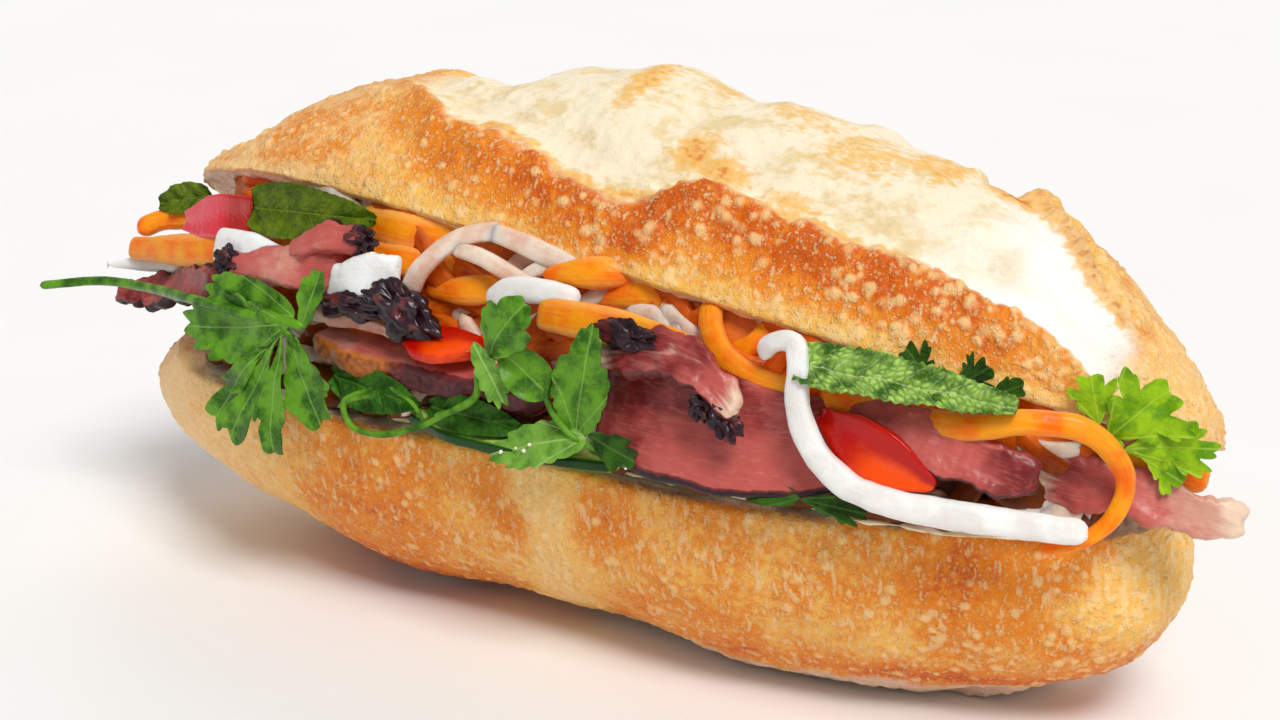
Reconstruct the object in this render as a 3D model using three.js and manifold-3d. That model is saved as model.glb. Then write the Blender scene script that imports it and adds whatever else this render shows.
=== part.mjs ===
// A banh mi: a crusty split roll, hinged along its back and filled with sliced pork, pickled
// carrot and daikon, cucumber, chilli, mint and coriander. Millimetres, +Z up. X runs along the
// roll, the mouth opens towards -Y, and the origin is the middle of the flat underside.
import * as THREE from 'three';
import { mergeVertices } from 'three/addons/utils/BufferGeometryUtils.js';
import Module from 'manifold-3d';

const wasm = await Module();
wasm.setup();

// Roll
const ROLL_LENGTH = 221;
const ROLL_WIDTH = 78;
const LIP_HEIGHT = 41;        // top of the lower half
const CROWN_HEIGHT = 46.5;    // upper half, from its cut face to its top
const SOLE_SINK = 1.5;        // how much of the round underside is flattened away
const HINGE_Y = 37;
const OPEN_ANGLE = 29;        // degrees, at the middle of the roll
const OPEN_TWIST = 8;         // the left end opens this much more, the right end this much less
const LEFT_BELLY = 11.5;      // how far the left end swells out below its lip
const RIGHT_BELLY = 5;
const LOWER_SHIFT = -3;       // the lower half sits this far along from the upper half
const LOWER_RIGHT_REACH = 107.5;
const LEFT_LIP = 4.5;         // how far the left end of the crown juts out at its lip

// Slash along the crown, in degrees round the crown from the front lip
const SLASH_BACK = 118;
const EAR_RISE = 3;
const GROOVE_DEPTH = 1.6;

// Fillings
const CLEARANCE = 0.36;       // gap between pieces that touch
const SLACK = 0.1;            // how far a cut surface may be evened out
const SHRED_WIDTH = 6.2;
const SHRED_THICKNESS = 3.6;
const LEAF_THICKNESS = 0.8;
const LOBE_SPAN = 0.78;       // the share of a coriander leaflet's outline that its lobes take up
const STEM_WIDTH = 2.2;
const SPREAD_THICKNESS = 1.1;

const radians = THREE.MathUtils.degToRad;
const clamp01 = (value) => THREE.MathUtils.clamp(value, 0, 1);
const smooth = (from, to, value) => {
  const share = clamp01((value - from) / (to - from));
  return share * share * (3 - 2 * share);
};
const bell = (value, centre, width) => Math.exp(-(((value - centre) / width) ** 2));
const point = (x, y, z) => new THREE.Vector3(x, y, z);
const vector = (list) => new THREE.Vector3(...list);

// ---- closed meshes ----

// A mesh as a solid whose faces point out.
function solidFrom(positions, indices) {
  const geometry = new THREE.BufferGeometry();
  geometry.setAttribute('position', new THREE.Float32BufferAttribute(positions, 3));
  geometry.setIndex(indices);
  return solidOf(geometry);
}

function solidOf(source) {
  const bare = source.index ? source : source.clone();
  bare.deleteAttribute('normal');
  bare.deleteAttribute('uv');
  const merged = mergeVertices(bare, 1e-4);
  const corners = merged.attributes.position.array;
  const triangles = Array.from(merged.index.array);
  const a = new THREE.Vector3();
  const b = new THREE.Vector3();
  const c = new THREE.Vector3();
  let volume = 0;
  for (let i = 0; i < triangles.length; i += 3) {
    a.fromArray(corners, triangles[i] * 3);
    b.fromArray(corners, triangles[i + 1] * 3);
    c.fromArray(corners, triangles[i + 2] * 3);
    volume += a.dot(b.cross(c));
  }
  if (volume < 0) triangles.reverse();
  return new wasm.Manifold(new wasm.Mesh({
    numProp: 3,
    vertProperties: new Float32Array(corners),
    triVerts: new Uint32Array(triangles),
  }));
}

// Rings of equal length, joined side by side, with a fan over each end.
function loft(rings) {
  const size = rings[0].length;
  const positions = rings.flat().flatMap((p) => p.toArray());
  const indices = [];
  for (let r = 0; r + 1 < rings.length; r += 1) {
    for (let k = 0; k < size; k += 1) {
      const low = r * size + k;
      const next = r * size + (k + 1) % size;
      indices.push(low, next, low + size, next, next + size, low + size);
    }
  }
  for (const [row, flip] of [[0, true], [rings.length - 1, false]]) {
    const hub = positions.length / 3;
    const centre = rings[row].reduce((sum, p) => sum.add(p), point(0, 0, 0)).divideScalar(size);
    positions.push(...centre.toArray());
    for (let k = 0; k < size; k += 1) {
      const one = row * size + k;
      const two = row * size + (k + 1) % size;
      indices.push(hub, flip ? two : one, flip ? one : two);
    }
  }
  return solidFrom(positions, indices);
}

// A thin solid over surface(u, v), both faces split alike. u and v run from 0 to 1.
function slab(surface, columns, rows, thickness) {
  const step = 1e-3;
  const positions = [];
  for (const side of [1, -1]) {
    for (let i = 0; i <= columns; i += 1) {
      for (let j = 0; j <= rows; j += 1) {
        const u = i / columns;
        const v = j / rows;
        const along = surface(Math.min(1, u + step), v).sub(surface(Math.max(0, u - step), v));
        const across = surface(u, Math.min(1, v + step)).sub(surface(u, Math.max(0, v - step)));
        const normal = along.cross(across).normalize();
        const place = surface(u, v).addScaledVector(normal, side * thickness / 2);
        positions.push(...place.toArray());
      }
    }
  }
  const layer = (columns + 1) * (rows + 1);
  const at = (i, j, face) => face * layer + i * (rows + 1) + j;
  const indices = [];
  for (let i = 0; i < columns; i += 1) {
    for (let j = 0; j < rows; j += 1) {
      for (const face of [0, 1]) {
        const [p, q] = [at(i, j, face), at(i + 1, j, face)];
        const [r, s] = [at(i + 1, j + 1, face), at(i, j + 1, face)];
        indices.push(...(face === 0 ? [p, q, r, p, r, s] : [p, r, q, p, s, r]));
      }
    }
  }
  const rim = [];
  for (let i = 0; i < columns; i += 1) rim.push([i, 0]);
  for (let j = 0; j < rows; j += 1) rim.push([columns, j]);
  for (let i = columns; i > 0; i -= 1) rim.push([i, rows]);
  for (let j = rows; j > 0; j -= 1) rim.push([0, j]);
  rim.forEach(([i, j], k) => {
    const [m, n] = rim[(k + 1) % rim.length];
    indices.push(at(i, j, 0), at(i, j, 1), at(m, n, 1));
    indices.push(at(i, j, 0), at(m, n, 1), at(m, n, 0));
  });
  return solidFrom(positions, indices);
}

// ---- the roll ----

// Half width of the roll at t, from -1 at the left tip to 1 at the right, as a share of the middle.
function planScale(t) {
  const fullness = t < 0 ? 4.2 : 2.3;
  return Math.max(0, 1 - Math.abs(t) ** fullness) ** (1 / 2.4);
}

// Where the hand-shaped roll swells and pulls in below its lip: place along it, share of its depth.
const SWELLS = [[-0.9, 0.057], [-0.75, 0.036], [-0.62, -0.035], [-0.48, 0.022], [-0.2, -0.055],
  [-0.05, -0.046], [0.1, -0.04], [0.3, 0.017], [0.7, -0.049], [0.85, -0.064]];

function girth(t) {
  return SWELLS.reduce((sum, [place, share]) => sum + share * bell(t, place, 0.12), 1);
}

// The front edge of the slash: place along the roll, and degrees round the crown from the front lip.
const SLASH_FRONT = [[-0.65, 58], [-0.5, 41], [-0.4, 31], [-0.3, 27], [-0.2, 24], [-0.1, 20], [0, 17],
  [0.08, 19], [0.14, 26], [0.2, 29], [0.25, 26.5], [0.5, 27], [0.65, 29], [0.74, 28], [0.82, 24],
  [0.9, 14]];

// Where the slash through the crown starts and ends, in degrees round the crown.
function slashEdges(t) {
  const next = SLASH_FRONT.findIndex(([place]) => place > t);
  let front = SLASH_FRONT[next < 0 ? SLASH_FRONT.length - 1 : 0][1];
  if (next > 0) {
    const [[from, low], [to, high]] = [SLASH_FRONT[next - 1], SLASH_FRONT[next]];
    front = low + (high - low) * (t - from) / (to - from);
  }
  const back = SLASH_BACK - 52 * smooth(-0.1, -0.58, t) ** 1.3 - 62 * smooth(0.4, 0.92, t);
  return [front, back];
}

// Lobes and hollows of the crown: place along the roll and reach along it, height, place round the
// crown in degrees and reach round it.
const CROWN_FORMS = [[-0.88, 0.07, -2.4, 35, 40], [-0.54, 0.1, 1.2, 75, 40], [-0.445, 0.085, -6.6, 86, 22],
  [-0.37, 0.05, -2.6, 64, 16], [-0.3, 0.07, -0.8, 80, 35], [-0.1, 0.055, 1.9, 78, 30],
  [0.07, 0.075, -2.6, 82, 40], [0.33, 0.16, -1.7, 85, 40], [0.31, 0.045, 1.7, 90, 14],
  [0.74, 0.06, 1.4, 104, 30], [0.9, 0.08, -1.6, 110, 30]];

// Height of the crust over the plain crown: two lifted ears with the sunken slash between them.
function crownRelief(t, degrees) {
  const [front, back] = slashEdges(t);
  const open = smooth(-0.62, -0.45, t) * (1 - smooth(0.84, 0.93, t));
  const flap = EAR_RISE + 1.8 * bell(t, 0.17, 0.07);
  const rearEar = 1.1 * EAR_RISE * bell(degrees, back + 3, 8) * smooth(-0.25, 0.1, t);
  const ears = flap * bell(degrees, front - 3, 6) + rearEar;
  const groove = GROOVE_DEPTH * (bell(degrees, front + 10, 7) + bell(degrees, back - 10, 8));
  const form = CROWN_FORMS.reduce((sum, [place, along, rise, turn, spread]) => (
    sum + rise * bell(t, place, along) * bell(degrees, turn, spread)), 0);
  return open * (ears - groove) + form;
}

// Swings a point of the upper half back over the hinge.
function raise(x, y, z) {
  const t = x / (ROLL_LENGTH / 2);
  const angle = radians(OPEN_ANGLE - OPEN_TWIST * t);
  const reach = y - HINGE_Y;
  return point(
    x,
    HINGE_Y + reach * Math.cos(angle) + z * Math.sin(angle),
    LIP_HEIGHT - reach * Math.sin(angle) + z * Math.cos(angle),
  );
}

const stations = (count) => Array.from({ length: count + 1 }, (_, i) => (
  0.997 * Math.sin(-Math.PI / 2 + Math.PI * i / count)
));

// A ring of the lower half at t: down the front, under the sole, up the back, and over the cut.
function lowerRing(t, grow) {
  const x = LOWER_SHIFT + t * ((t < 0 ? ROLL_LENGTH / 2 : LOWER_RIGHT_REACH) + grow);
  const half = (ROLL_WIDTH / 2) * planScale(t) * (1 + girth(t)) / 2 + grow;
  const fullness = t < 0 ? 2.4 : 7.4;
  const fall = Math.max(0, 1 - Math.abs(t) ** fullness) ** (1 / 2.2);
  const depth = (LIP_HEIGHT + SOLE_SINK) * fall * girth(t);
  const resting = smooth(-0.58, -0.38, t) * smooth(0.82, 0.66, t);
  const belly = t ** 4 * (t < 0 ? -LEFT_BELLY : RIGHT_BELLY);
  const ring = [];
  const turns = [0, 15, 30, 45, 60, 72, 82, 105, 120, 135, 150, 165, 180];
  const steps = turns.length - 1;
  for (let i = 0; i <= steps; i += 1) {
    const a = radians(turns[i]);
    const y = -half * Math.sign(Math.cos(a)) * Math.abs(Math.cos(a)) ** (2 / 2.3);
    const flat = i === 6 || i === 7 ? 1 - resting : 1;
    const lift = LIP_HEIGHT - (depth + grow) * Math.sin(a) ** (2 / 2.3);
    const z = Math.max(-grow, flat * lift - (1 - flat) * grow);
    const swell = Math.sin(Math.PI * clamp01(z / LIP_HEIGHT) ** (t < 0 ? 1.4 : 0.8));
    ring.push(point(x + belly * swell, y, z));
  }
  ring[0].z = LIP_HEIGHT + grow;
  ring[steps].z = LIP_HEIGHT + grow;
  const cuts = 3;
  for (let i = 1; i < cuts; i += 1) {
    ring.push(point(x, half * (1 - 2 * i / cuts), LIP_HEIGHT + grow));
  }
  return ring;
}

// A ring of the upper half at t: over the crown from the front lip, and back along its cut face.
function upperRing(t, grow) {
  const half = (ROLL_WIDTH / 2) * planScale(t) + grow;
  const height = CROWN_HEIGHT * Math.max(0, 1 - t ** 2) ** 0.6 + grow;
  const x = t * (ROLL_LENGTH / 2 + grow);
  const ring = [];
  const steps = 22;
  for (let i = 0; i <= steps; i += 1) {
    const a = Math.PI * i / steps;
    const y = -half * Math.sign(Math.cos(a)) * Math.abs(Math.cos(a)) ** (2 / 1.95);
    const z = height * Math.sin(a) ** (2 / 1.95);
    const lift = crownRelief(t, THREE.MathUtils.radToDeg(a)) * planScale(t) * Math.sin(a) ** 0.3;
    const swell = 1 + lift / Math.max(8, Math.hypot(y, z));
    const jut = LEFT_LIP * smooth(-0.8, -1, t) * smooth(0.35, 0, z / CROWN_HEIGHT);
    ring.push(raise(x - jut, y * swell, z * swell - (i === 0 || i === steps ? grow : 0)));
  }
  const cuts = 3;
  const lip = x - LEFT_LIP * smooth(-0.8, -1, t);
  for (let i = 1; i < cuts; i += 1) ring.push(raise(lip, half * (1 - 2 * i / cuts), -grow));
  return ring;
}

// The uncut crust and crumb that join the halves at the back.
function hingeRing(t, grow) {
  const ring = [];
  const steps = 8;
  for (let i = 0; i < steps; i += 1) {
    const a = 2 * Math.PI * i / steps;
    const y = (ROLL_WIDTH / 2) * planScale(t) - 6 + (6 + grow) * Math.cos(a);
    ring.push(point(t * ROLL_LENGTH / 2, y, LIP_HEIGHT + 2 + (8 + grow) * Math.sin(a)));
  }
  return ring;
}

function roll(grow = 0) {
  const lower = loft(stations(28).map((t) => lowerRing(t, grow)));
  const upper = loft(stations(32).map((t) => upperRing(t, grow)));
  const hinge = loft(stations(10).map((t) => hingeRing(0.72 * t, grow)));
  return lower.add(upper).add(hinge);
}

// ---- strips, slices and stems ----

// A strip along hand-placed points. face is the way its broad side looks, and taper its width at its
// two ends.
function strip({ points, width = SHRED_WIDTH, thickness = SHRED_THICKNESS, face = [0, -1, 0.4],
  taper = [0.9, 0.9], sides = 6, steps = 8 }, grow = 0) {
  const curve = new THREE.CatmullRomCurve3(points.map(vector), false, 'centripetal');
  const broad = vector(face).normalize();
  const rings = [];
  for (let i = 0; i <= steps; i += 1) {
    const u = i / steps;
    const tangent = curve.getTangentAt(u);
    const across = tangent.clone().cross(broad).normalize();
    const out = across.clone().cross(tangent).normalize();
    const rounded = i === 0 || i === steps ? 0.8 : 1;
    const body = 1 + (taper[0] - 1) * smooth(0.5, 0, u) + (taper[1] - 1) * smooth(0.5, 1, u);
    const end = rounded * body;
    const centre = curve.getPointAt(u);
    if (i === 0) centre.addScaledVector(tangent, -grow);
    if (i === steps) centre.addScaledVector(tangent, grow);
    const ring = [];
    for (let k = 0; k < sides; k += 1) {
      const a = 2 * Math.PI * (k + 0.5) / sides;
      const w = (width * end / 2 + grow) * 1.08 * Math.cos(a);
      const h = (thickness * end / 2 + grow) * 1.08 * Math.sin(a);
      ring.push(centre.clone().addScaledVector(across, w).addScaledVector(out, h));
    }
    rings.push(ring);
  }
  return loft(rings);
}

// A slice that runs along a spine, with its own width at every point of the spine. side is the
// way its width runs, and sag bends the slice across its width.
function slice({ points, widths, side, thickness, ragged = 0.6, sag = 0, columns = 7, rows = 3 },
  grow = 0) {
  const spine = new THREE.CatmullRomCurve3(points.map(vector), false, 'centripetal');
  const girths = new THREE.SplineCurve(widths.map((w, i) => new THREE.Vector2(i, w)));
  const lateral = vector(side).normalize();
  const surface = (u, v) => {
    const across = 2 * v - 1;
    const rough = ragged * (Math.sin(9 * u + 4 * v) + 0.6 * Math.sin(21 * u + 2));
    const half = girths.getPoint(u).y / 2 + grow + rough;
    const centre = spine.getPoint(u);
    const tangent = spine.getTangent(u);
    const normal = tangent.clone().cross(lateral).normalize();
    const dip = sag * (1 - across ** 2) + 0.5 * ragged * Math.sin(7 * u + 3 * across);
    centre.addScaledVector(tangent, grow * (2 * u - 1));
    return centre.addScaledVector(lateral, half * across).addScaledVector(normal, dip);
  };
  return slab(surface, columns, rows, thickness + 2 * grow);
}

// A round stem: a many-sided bar extruded along its own curve.
function stem({ points, width = STEM_WIDTH, steps = 9 }, grow = 0) {
  const curve = new THREE.CatmullRomCurve3(points.map(vector), false, 'centripetal');
  const section = new THREE.Shape();
  section.absarc(0, 0, width / 2 + grow, 0, 2 * Math.PI, false);
  const bar = new THREE.ExtrudeGeometry(section, { steps, extrudePath: curve, curveSegments: 5 });
  return solidOf(bar);
}

// ---- leaves ----

// A blade's own axes: along its midrib, across it, and out of its upper face.
function bladeAxes(base, tip, face) {
  const root = vector(base);
  const along = vector(tip).sub(root);
  const length = along.length();
  along.normalize();
  const across = vector(face).cross(along).normalize();
  const out = along.clone().cross(across).normalize();
  return { root, along, across, out, length };
}

// A coriander leaflet from its foot to its tip, with lobes cut notch deep. neck draws its foot in, fan
// widens its end and bend curves it. Both faces are split alike.
function leaflet({ base, tip, face, width, lobes = 3, notch = 0.15, fan = 0, neck = 0, bend = 0 }, grow = 0) {
  const { root, along, across, out, length } = bladeAxes(base, tip, face);
  const foot = 0.45 * length;
  const stops = [-1, -0.9];
  for (let k = 0; k < lobes; k += 1) {
    const middle = LOBE_SPAN * ((2 * k + 1) / lobes - 1);
    const reach = 0.5 * LOBE_SPAN / lobes;
    stops.push(middle - reach, middle, middle + reach);
    if (k + 1 < lobes) stops.push(middle + 2 * reach);
  }
  stops.push(0.9);
  const outline = stops.map((s, i) => {
    const level = Math.cos(Math.PI * s);
    const share = (level + 1) / 2;
    const side = (width / 2) * Math.sin(Math.PI * s) * (1 + fan * level) * (share + 1e-6) ** neck;
    const deep = i > 2 && i < stops.length - 2 && (i - 5) % 4 === 0 ? notch : 0;
    const reach = (1 - deep) * (1 + grow / Math.hypot(length * share - foot, side));
    return [foot + (length * share - foot) * reach, side * reach];
  });
  const positions = [];
  for (const way of [1, -1]) {
    for (const [ahead, side] of [[foot, 0], ...outline]) {
      const radius = Math.hypot(ahead, side) / length;
      const rise = 0.4 * (side ** 2) / width - 0.07 * length * radius ** 2;
      const place = root.clone().addScaledVector(along, ahead);
      place.addScaledVector(across, side + bend * radius ** 2);
      positions.push(...place.addScaledVector(out, rise + way * (LEAF_THICKNESS / 2 + grow)).toArray());
    }
  }
  const rim = outline.length;
  const at = (k, side) => side * (rim + 1) + 1 + (k % rim);
  const indices = [];
  for (let k = 0; k < rim; k += 1) {
    indices.push(0, at(k, 0), at(k + 1, 0));
    indices.push(rim + 1, at(k + 1, 1), at(k, 1));
    indices.push(at(k, 0), at(k, 1), at(k + 1, 1));
    indices.push(at(k, 0), at(k + 1, 1), at(k + 1, 0));
  }
  return solidFrom(positions, indices);
}

// A mint leaf: an oval saw-edged blade, folded up a little along its midrib. It is widest nearer its
// base for a smaller lead.
function mintLeaf({ base, tip, face, width, fold = 0.25, arch = 2, saw = 0.05, blunt = 0.75, lead = 0.8 },
  grow = 0) {
  const { root, along, across, out, length } = bladeAxes(base, tip, face);
  const surface = (u, v) => {
    const side = 2 * v - 1;
    const half = (width / 2) * Math.sin(Math.PI * (0.04 + 0.92 * u) ** lead) ** blunt + grow;
    const tooth = 1 + saw * Math.sin(2 * Math.PI * 6 * u);
    const rise = arch * Math.sin(Math.PI * u) + fold * half * Math.abs(side)
      + 0.35 * Math.sin(20 * u - 5 * Math.abs(side));
    return root.clone().addScaledVector(along, u * length + grow * (2 * u - 1))
      .addScaledVector(across, half * side * tooth).addScaledVector(out, rise);
  };
  return slab(surface, 9, 4, LEAF_THICKNESS + 2 * grow);
}

// ---- chunks ----

// A craggy burnt lump: a ball of small faces pushed in and out. long is its longest axis.
function chunk({ centre, size, long = [1, 0, 0], seed = 1, crags = 0.22 }, grow = 0) {
  const ball = new THREE.IcosahedronGeometry(1, 1);
  const spots = ball.attributes.position;
  const turn = new THREE.Quaternion().setFromUnitVectors(point(1, 0, 0), vector(long).normalize());
  for (let i = 0; i < spots.count; i += 1) {
    const p = new THREE.Vector3().fromBufferAttribute(spots, i);
    const rough = Math.sin(5.1 * p.x + seed) * Math.sin(6.3 * p.y + 2 * seed)
      + Math.sin(7.7 * p.z + 3 * seed) * Math.cos(4.9 * p.x - seed);
    const [sx, sy, sz] = size.map((s) => (s / 2) * (1 + crags * rough) + grow);
    p.set(p.x * sx, p.y * sy, p.z * sz).applyQuaternion(turn).add(vector(centre));
    spots.setXYZ(i, p.x, p.y, p.z);
  }
  return solidOf(ball);
}

// ---- assembly ----

const banhMi = new THREE.Group();
const placed = [];

// Puts a piece in, cut back where it would reach into a piece that is already there.
function add(name, { colour, roughness }, ...makers) {
  const join = (grow) => makers.map((make) => make(grow)).reduce((all, one) => all.add(one));
  let body = join(0);
  const box = body.boundingBox();
  const near = placed.filter(({ limits }) => [0, 1, 2].every((i) => (
    limits.min[i] < box.max[i] && limits.max[i] > box.min[i])));
  for (const { guard } of near) body = body.subtract(guard);
  const scraps = body.decompose().sort((a, b) => b.volume() - a.volume());
  body = scraps[0].asOriginal().simplify(SLACK);
  const guard = join(CLEARANCE);
  placed.push({ guard, limits: guard.boundingBox() });

  const { vertProperties, triVerts } = body.getMesh();
  const geometry = new THREE.BufferGeometry();
  geometry.setAttribute('position', new THREE.Float32BufferAttribute(vertProperties, 3));
  geometry.setIndex(Array.from(triVerts));
  geometry.computeVertexNormals();
  const material = new THREE.MeshStandardMaterial({ color: colour, roughness, metalness: 0 });
  const mesh = new THREE.Mesh(geometry, material);
  mesh.name = name;
  banhMi.add(mesh);
}

// A shape function with its sizes, ready to be made plain or grown by a gap.
const make = (shape, sizes) => (grow) => shape(sizes, grow);

const CRUST = { colour: 0xd89850, roughness: 0.75 };
const CREAM = { colour: 0xf2ead6, roughness: 0.4 };
const CARROT = { colour: 0xf57c1a, roughness: 0.35 };
const DAIKON = { colour: 0xf1ebe2, roughness: 0.35 };
const PORK = { colour: 0xb9706a, roughness: 0.5 };
const CHAR = { colour: 0x33221f, roughness: 0.5 };
const CHILLI = { colour: 0xe5300f, roughness: 0.25 };
const HERB = { colour: 0x4c8c22, roughness: 0.55 };
const MINT = { colour: 0x63a246, roughness: 0.6 };
const CUCUMBER = { colour: 0x7f9f3c, roughness: 0.35 };

add('bread', CRUST, roll);

// A leaflet by its foot, tip, face, width, lobes, notch, fan, neck and bend.
const leaf = (base, tip, face, width, lobes, notch, fan, neck, bend) => (
  make(leaflet, { base, tip, face, width, lobes, notch, fan, neck, bend }));

// Coriander at the left: one big cut leaf on a long stalk that sticks out past the roll.
const FACE_1 = [-0.12, -1, 0.2];
add(
  'coriander_sprig_1',
  HERB,
  make(stem, {
    steps: 11,
    points: [[-142, -24, 49], [-127, -22, 52], [-112, -25, 54], [-88, -37, 58.5], [-72, -42, 60],
      [-60, -42.2, 60], [-55, -42.2, 60]],
  }),
  make(stem, { width: 1.8, steps: 4, points: [[-66, -42.4, 60.2], [-60.6, -42.6, 58], [-57, -42, 53]] }),
  leaf([-59, -41.8, 60], [-85, -38, 65], [-0.1, -1, 0.5], 8, 2, 0.2, 0.1, 0, 1.5),
  leaf([-59.5, -42.4, 60], [-90, -40.5, 51.5], FACE_1, 15.5, 3, 0.2, 0.1, 0.15, -2),
  leaf([-60.4, -42.6, 58], [-82.6, -44.6, 38], FACE_1, 11, 3, 0.5, 0.3, 0.6, 3),
  leaf([-60.4, -43, 58.4], [-73, -47, 34.2], FACE_1, 13, 3, 0.5, 0.4, 0.6, -1),
  leaf([-60.2, -42.8, 58.4], [-63.2, -47.6, 32.8], FACE_1, 9, 3, 0.3, 0.3, 0.4, 1),
  leaf([-60, -42.5, 58.4], [-50, -46.5, 41.5], FACE_1, 13.5, 3, 0.24, 0.4, 0.3),
  leaf([-56.4, -42.2, 59.4], [-53.4, -40.5, 71.5], FACE_1, 6, 1, 0, 0.2),
);

// Coriander at the middle: leaves that stand in front of the meat.
add(
  'coriander_sprig_2',
  HERB,
  make(stem, {
    width: 1.5, points: [[-23, -46, 49.2], [-18, -46.4, 51.5], [-13, -46.3, 55.5], [-12.6, -46.2, 60],
      [-10.5, -45.8, 63], [-8, -45, 64.6]],
  }),
  make(stem, {
    width: 1.5, points: [[12, -43.4, 48.5], [6, -44.4, 51], [1.5, -44.8, 57], [-0.4, -44.2, 58.6]],
  }),
  leaf([-10.8, -45.4, 62.5], [-4, -46.6, 76], [-0.2, -1, 0], 13, 3, 0.3, 0.25, 0.2, -2.2),
  leaf([-8.3, -44.8, 64.5], [0.7, -43.8, 56.8], [0.3, -0.9, 0.4], 8.5, 1, 0, 0.1),
  leaf([6.8, -43.9, 50.4], [11, -45.6, 72], [0.1, -1, -0.1], 11.2, 3, 0.2, -0.12),
  leaf([-12.6, -46.5, 64], [-6.6, -45.6, 54], [0.5, -1, 0.2], 5, 1, 0, 0.2, 0, -0.6),
);

// Coriander on the lip: one flat leaf, the curled bare stalks beside it, and dark bits below.
add('coriander_leaf_1', HERB, leaf([9.4, -43.4, 50.6], [-12.4, -45.8, 44.6], [0.1, -0.9, 0.5], 8.8, 3, 0.14,
  -0.1, 0, 1));
add(
  'coriander_stalks',
  HERB,
  make(stem, {
    width: 1.5, steps: 11,
    points: [[-13, -45.8, 55], [-20, -46, 50.4], [-27, -46.6, 46.3], [-36, -46.8, 43.4], [-42, -46.8, 44],
      [-44, -46.2, 48], [-38, -44.6, 51.5]],
  }),
  make(stem, {
    width: 1.2, steps: 7,
    points: [[-39, -44.8, 51.2], [-33, -44, 52], [-29, -45, 50.6], [-26, -46, 48.5], [-25, -46.4, 47.2]],
  }),
);
add('coriander_leaf_2', HERB, leaf([9.6, -43.6, 51.4], [19.5, -43.4, 47.6], [0.2, -1, 0.3], 7.6, 3, 0.3, 0.3,
  0.3));

// Coriander at the right: a bright sprig that fans out of the end of the roll.
const FACE_3 = [0.45, -1, 0.1];
add(
  'coriander_sprig_3',
  HERB,
  make(stem, { points: [[90, -17, 60], [97, -20, 62], [103, -19.8, 60], [106, -18.4, 58]] }),
  leaf([98.8, -20.6, 62.6], [96.8, -21.6, 72.4], FACE_3, 11, 5, 0.42, 0.3, 0.5),
  leaf([100, -20.6, 61.6], [108.6, -16.2, 71.4], FACE_3, 20, 5, 0.44, 0.3, 0.5, -1.5),
  leaf([103, -19.8, 60], [117.3, -12.8, 61.6], FACE_3, 12, 5, 0.4, 0.1, 0.4, -1.5),
  leaf([105.6, -18.6, 58.4], [112.4, -15.4, 53.8], FACE_3, 8, 5, 0.42, 0.4, 0.6),
);

// The long white shred of daikon that hangs down over the meat and lies along the lip.
add('daikon_long', DAIKON, make(strip, {
  steps: 18,
  width: 5.2,
  thickness: 3.8,
  taper: [0.8, 1],
  points: [[40.8, -36, 69.8], [44.7, -37.5, 73.4], [49.3, -38.5, 74], [50.6, -40, 70], [51.6, -41.5, 63.4],
    [54.8, -42, 57.4], [61.3, -41.6, 51.8], [70.8, -39.5, 49.2], [82.6, -36.5, 48.4], [93.6, -32.6, 47.6],
    [101, -29, 47]],
}));

// Carrot shreds: the curl under the upper lip and the loop round the right end.
add('carrot_loop', CARROT, make(strip, {
  steps: 16,
  width: 4.8,
  taper: [1.2, 0.55],
  points: [[52, -34, 64], [60, -33, 62.5], [70, -32, 62], [81, -32, 63], [90, -30, 65], [99, -25.5, 63.5],
    [104.5, -22.5, 56], [104, -24.5, 49.5], [99.5, -28, 44.8], [93, -31.5, 43.2]],
}));
add('carrot_curl', CARROT, make(strip, {
  steps: 10,
  width: 4.8,
  points: [[25, -26, 74.6], [27.7, -31, 71.7], [31.8, -34, 68.1], [38.9, -35.5, 65.3], [48, -34.5, 63.9]],
}));
add('carrot_strip_1', CARROT, make(strip, {
  width: 7.4, taper: [0.9, 0.5], points: [[-5.5, -37, 70], [8.7, -38.2, 70.6], [26.7, -36.5, 69.8]],
}));
add('carrot_strip_2', CARROT, make(strip, {
  width: 7.4,
  points: [[-124.9, -14, 57.5], [-107.4, -20, 61.4], [-86.3, -26, 65.8], [-67.2, -29, 70.4],
    [-57, -30, 73.6]],
}));
add('carrot_strip_3', CARROT, make(strip, {
  width: 4.8,
  points: [[-124.5, -12, 61], [-120, -10, 63.2], [-114, -9, 64.3], [-104.9, -10, 65.3]],
}));

// Mint: a large crinkled leaf under the upper lip and two smaller ones at the left.
add('mint_leaf_1', MINT, make(mintLeaf, {
  base: [50.2, -38.6, 70.4], tip: [88.5, -32, 67.6], face: [0, -0.7, 1], width: 9.8, arch: 0.5, blunt: 0.6,
  lead: 0.5,
}));
add('mint_leaf_2', MINT, make(mintLeaf, {
  base: [-78.6, -28.6, 76.8], tip: [-46.5, -31.3, 79.8], face: [0.1, -0.9, 0.3], width: 11, arch: 1,
  saw: 0.02, blunt: 0.6, lead: 0.6,
}));
add('mint_leaf_3', MINT, make(mintLeaf, {
  base: [-107.5, -8, 70], tip: [-120.5, -9, 66.6], face: [0, -0.9, 0.4], width: 6.6, arch: 1, saw: 0.02,
  blunt: 0.5,
}));

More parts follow.
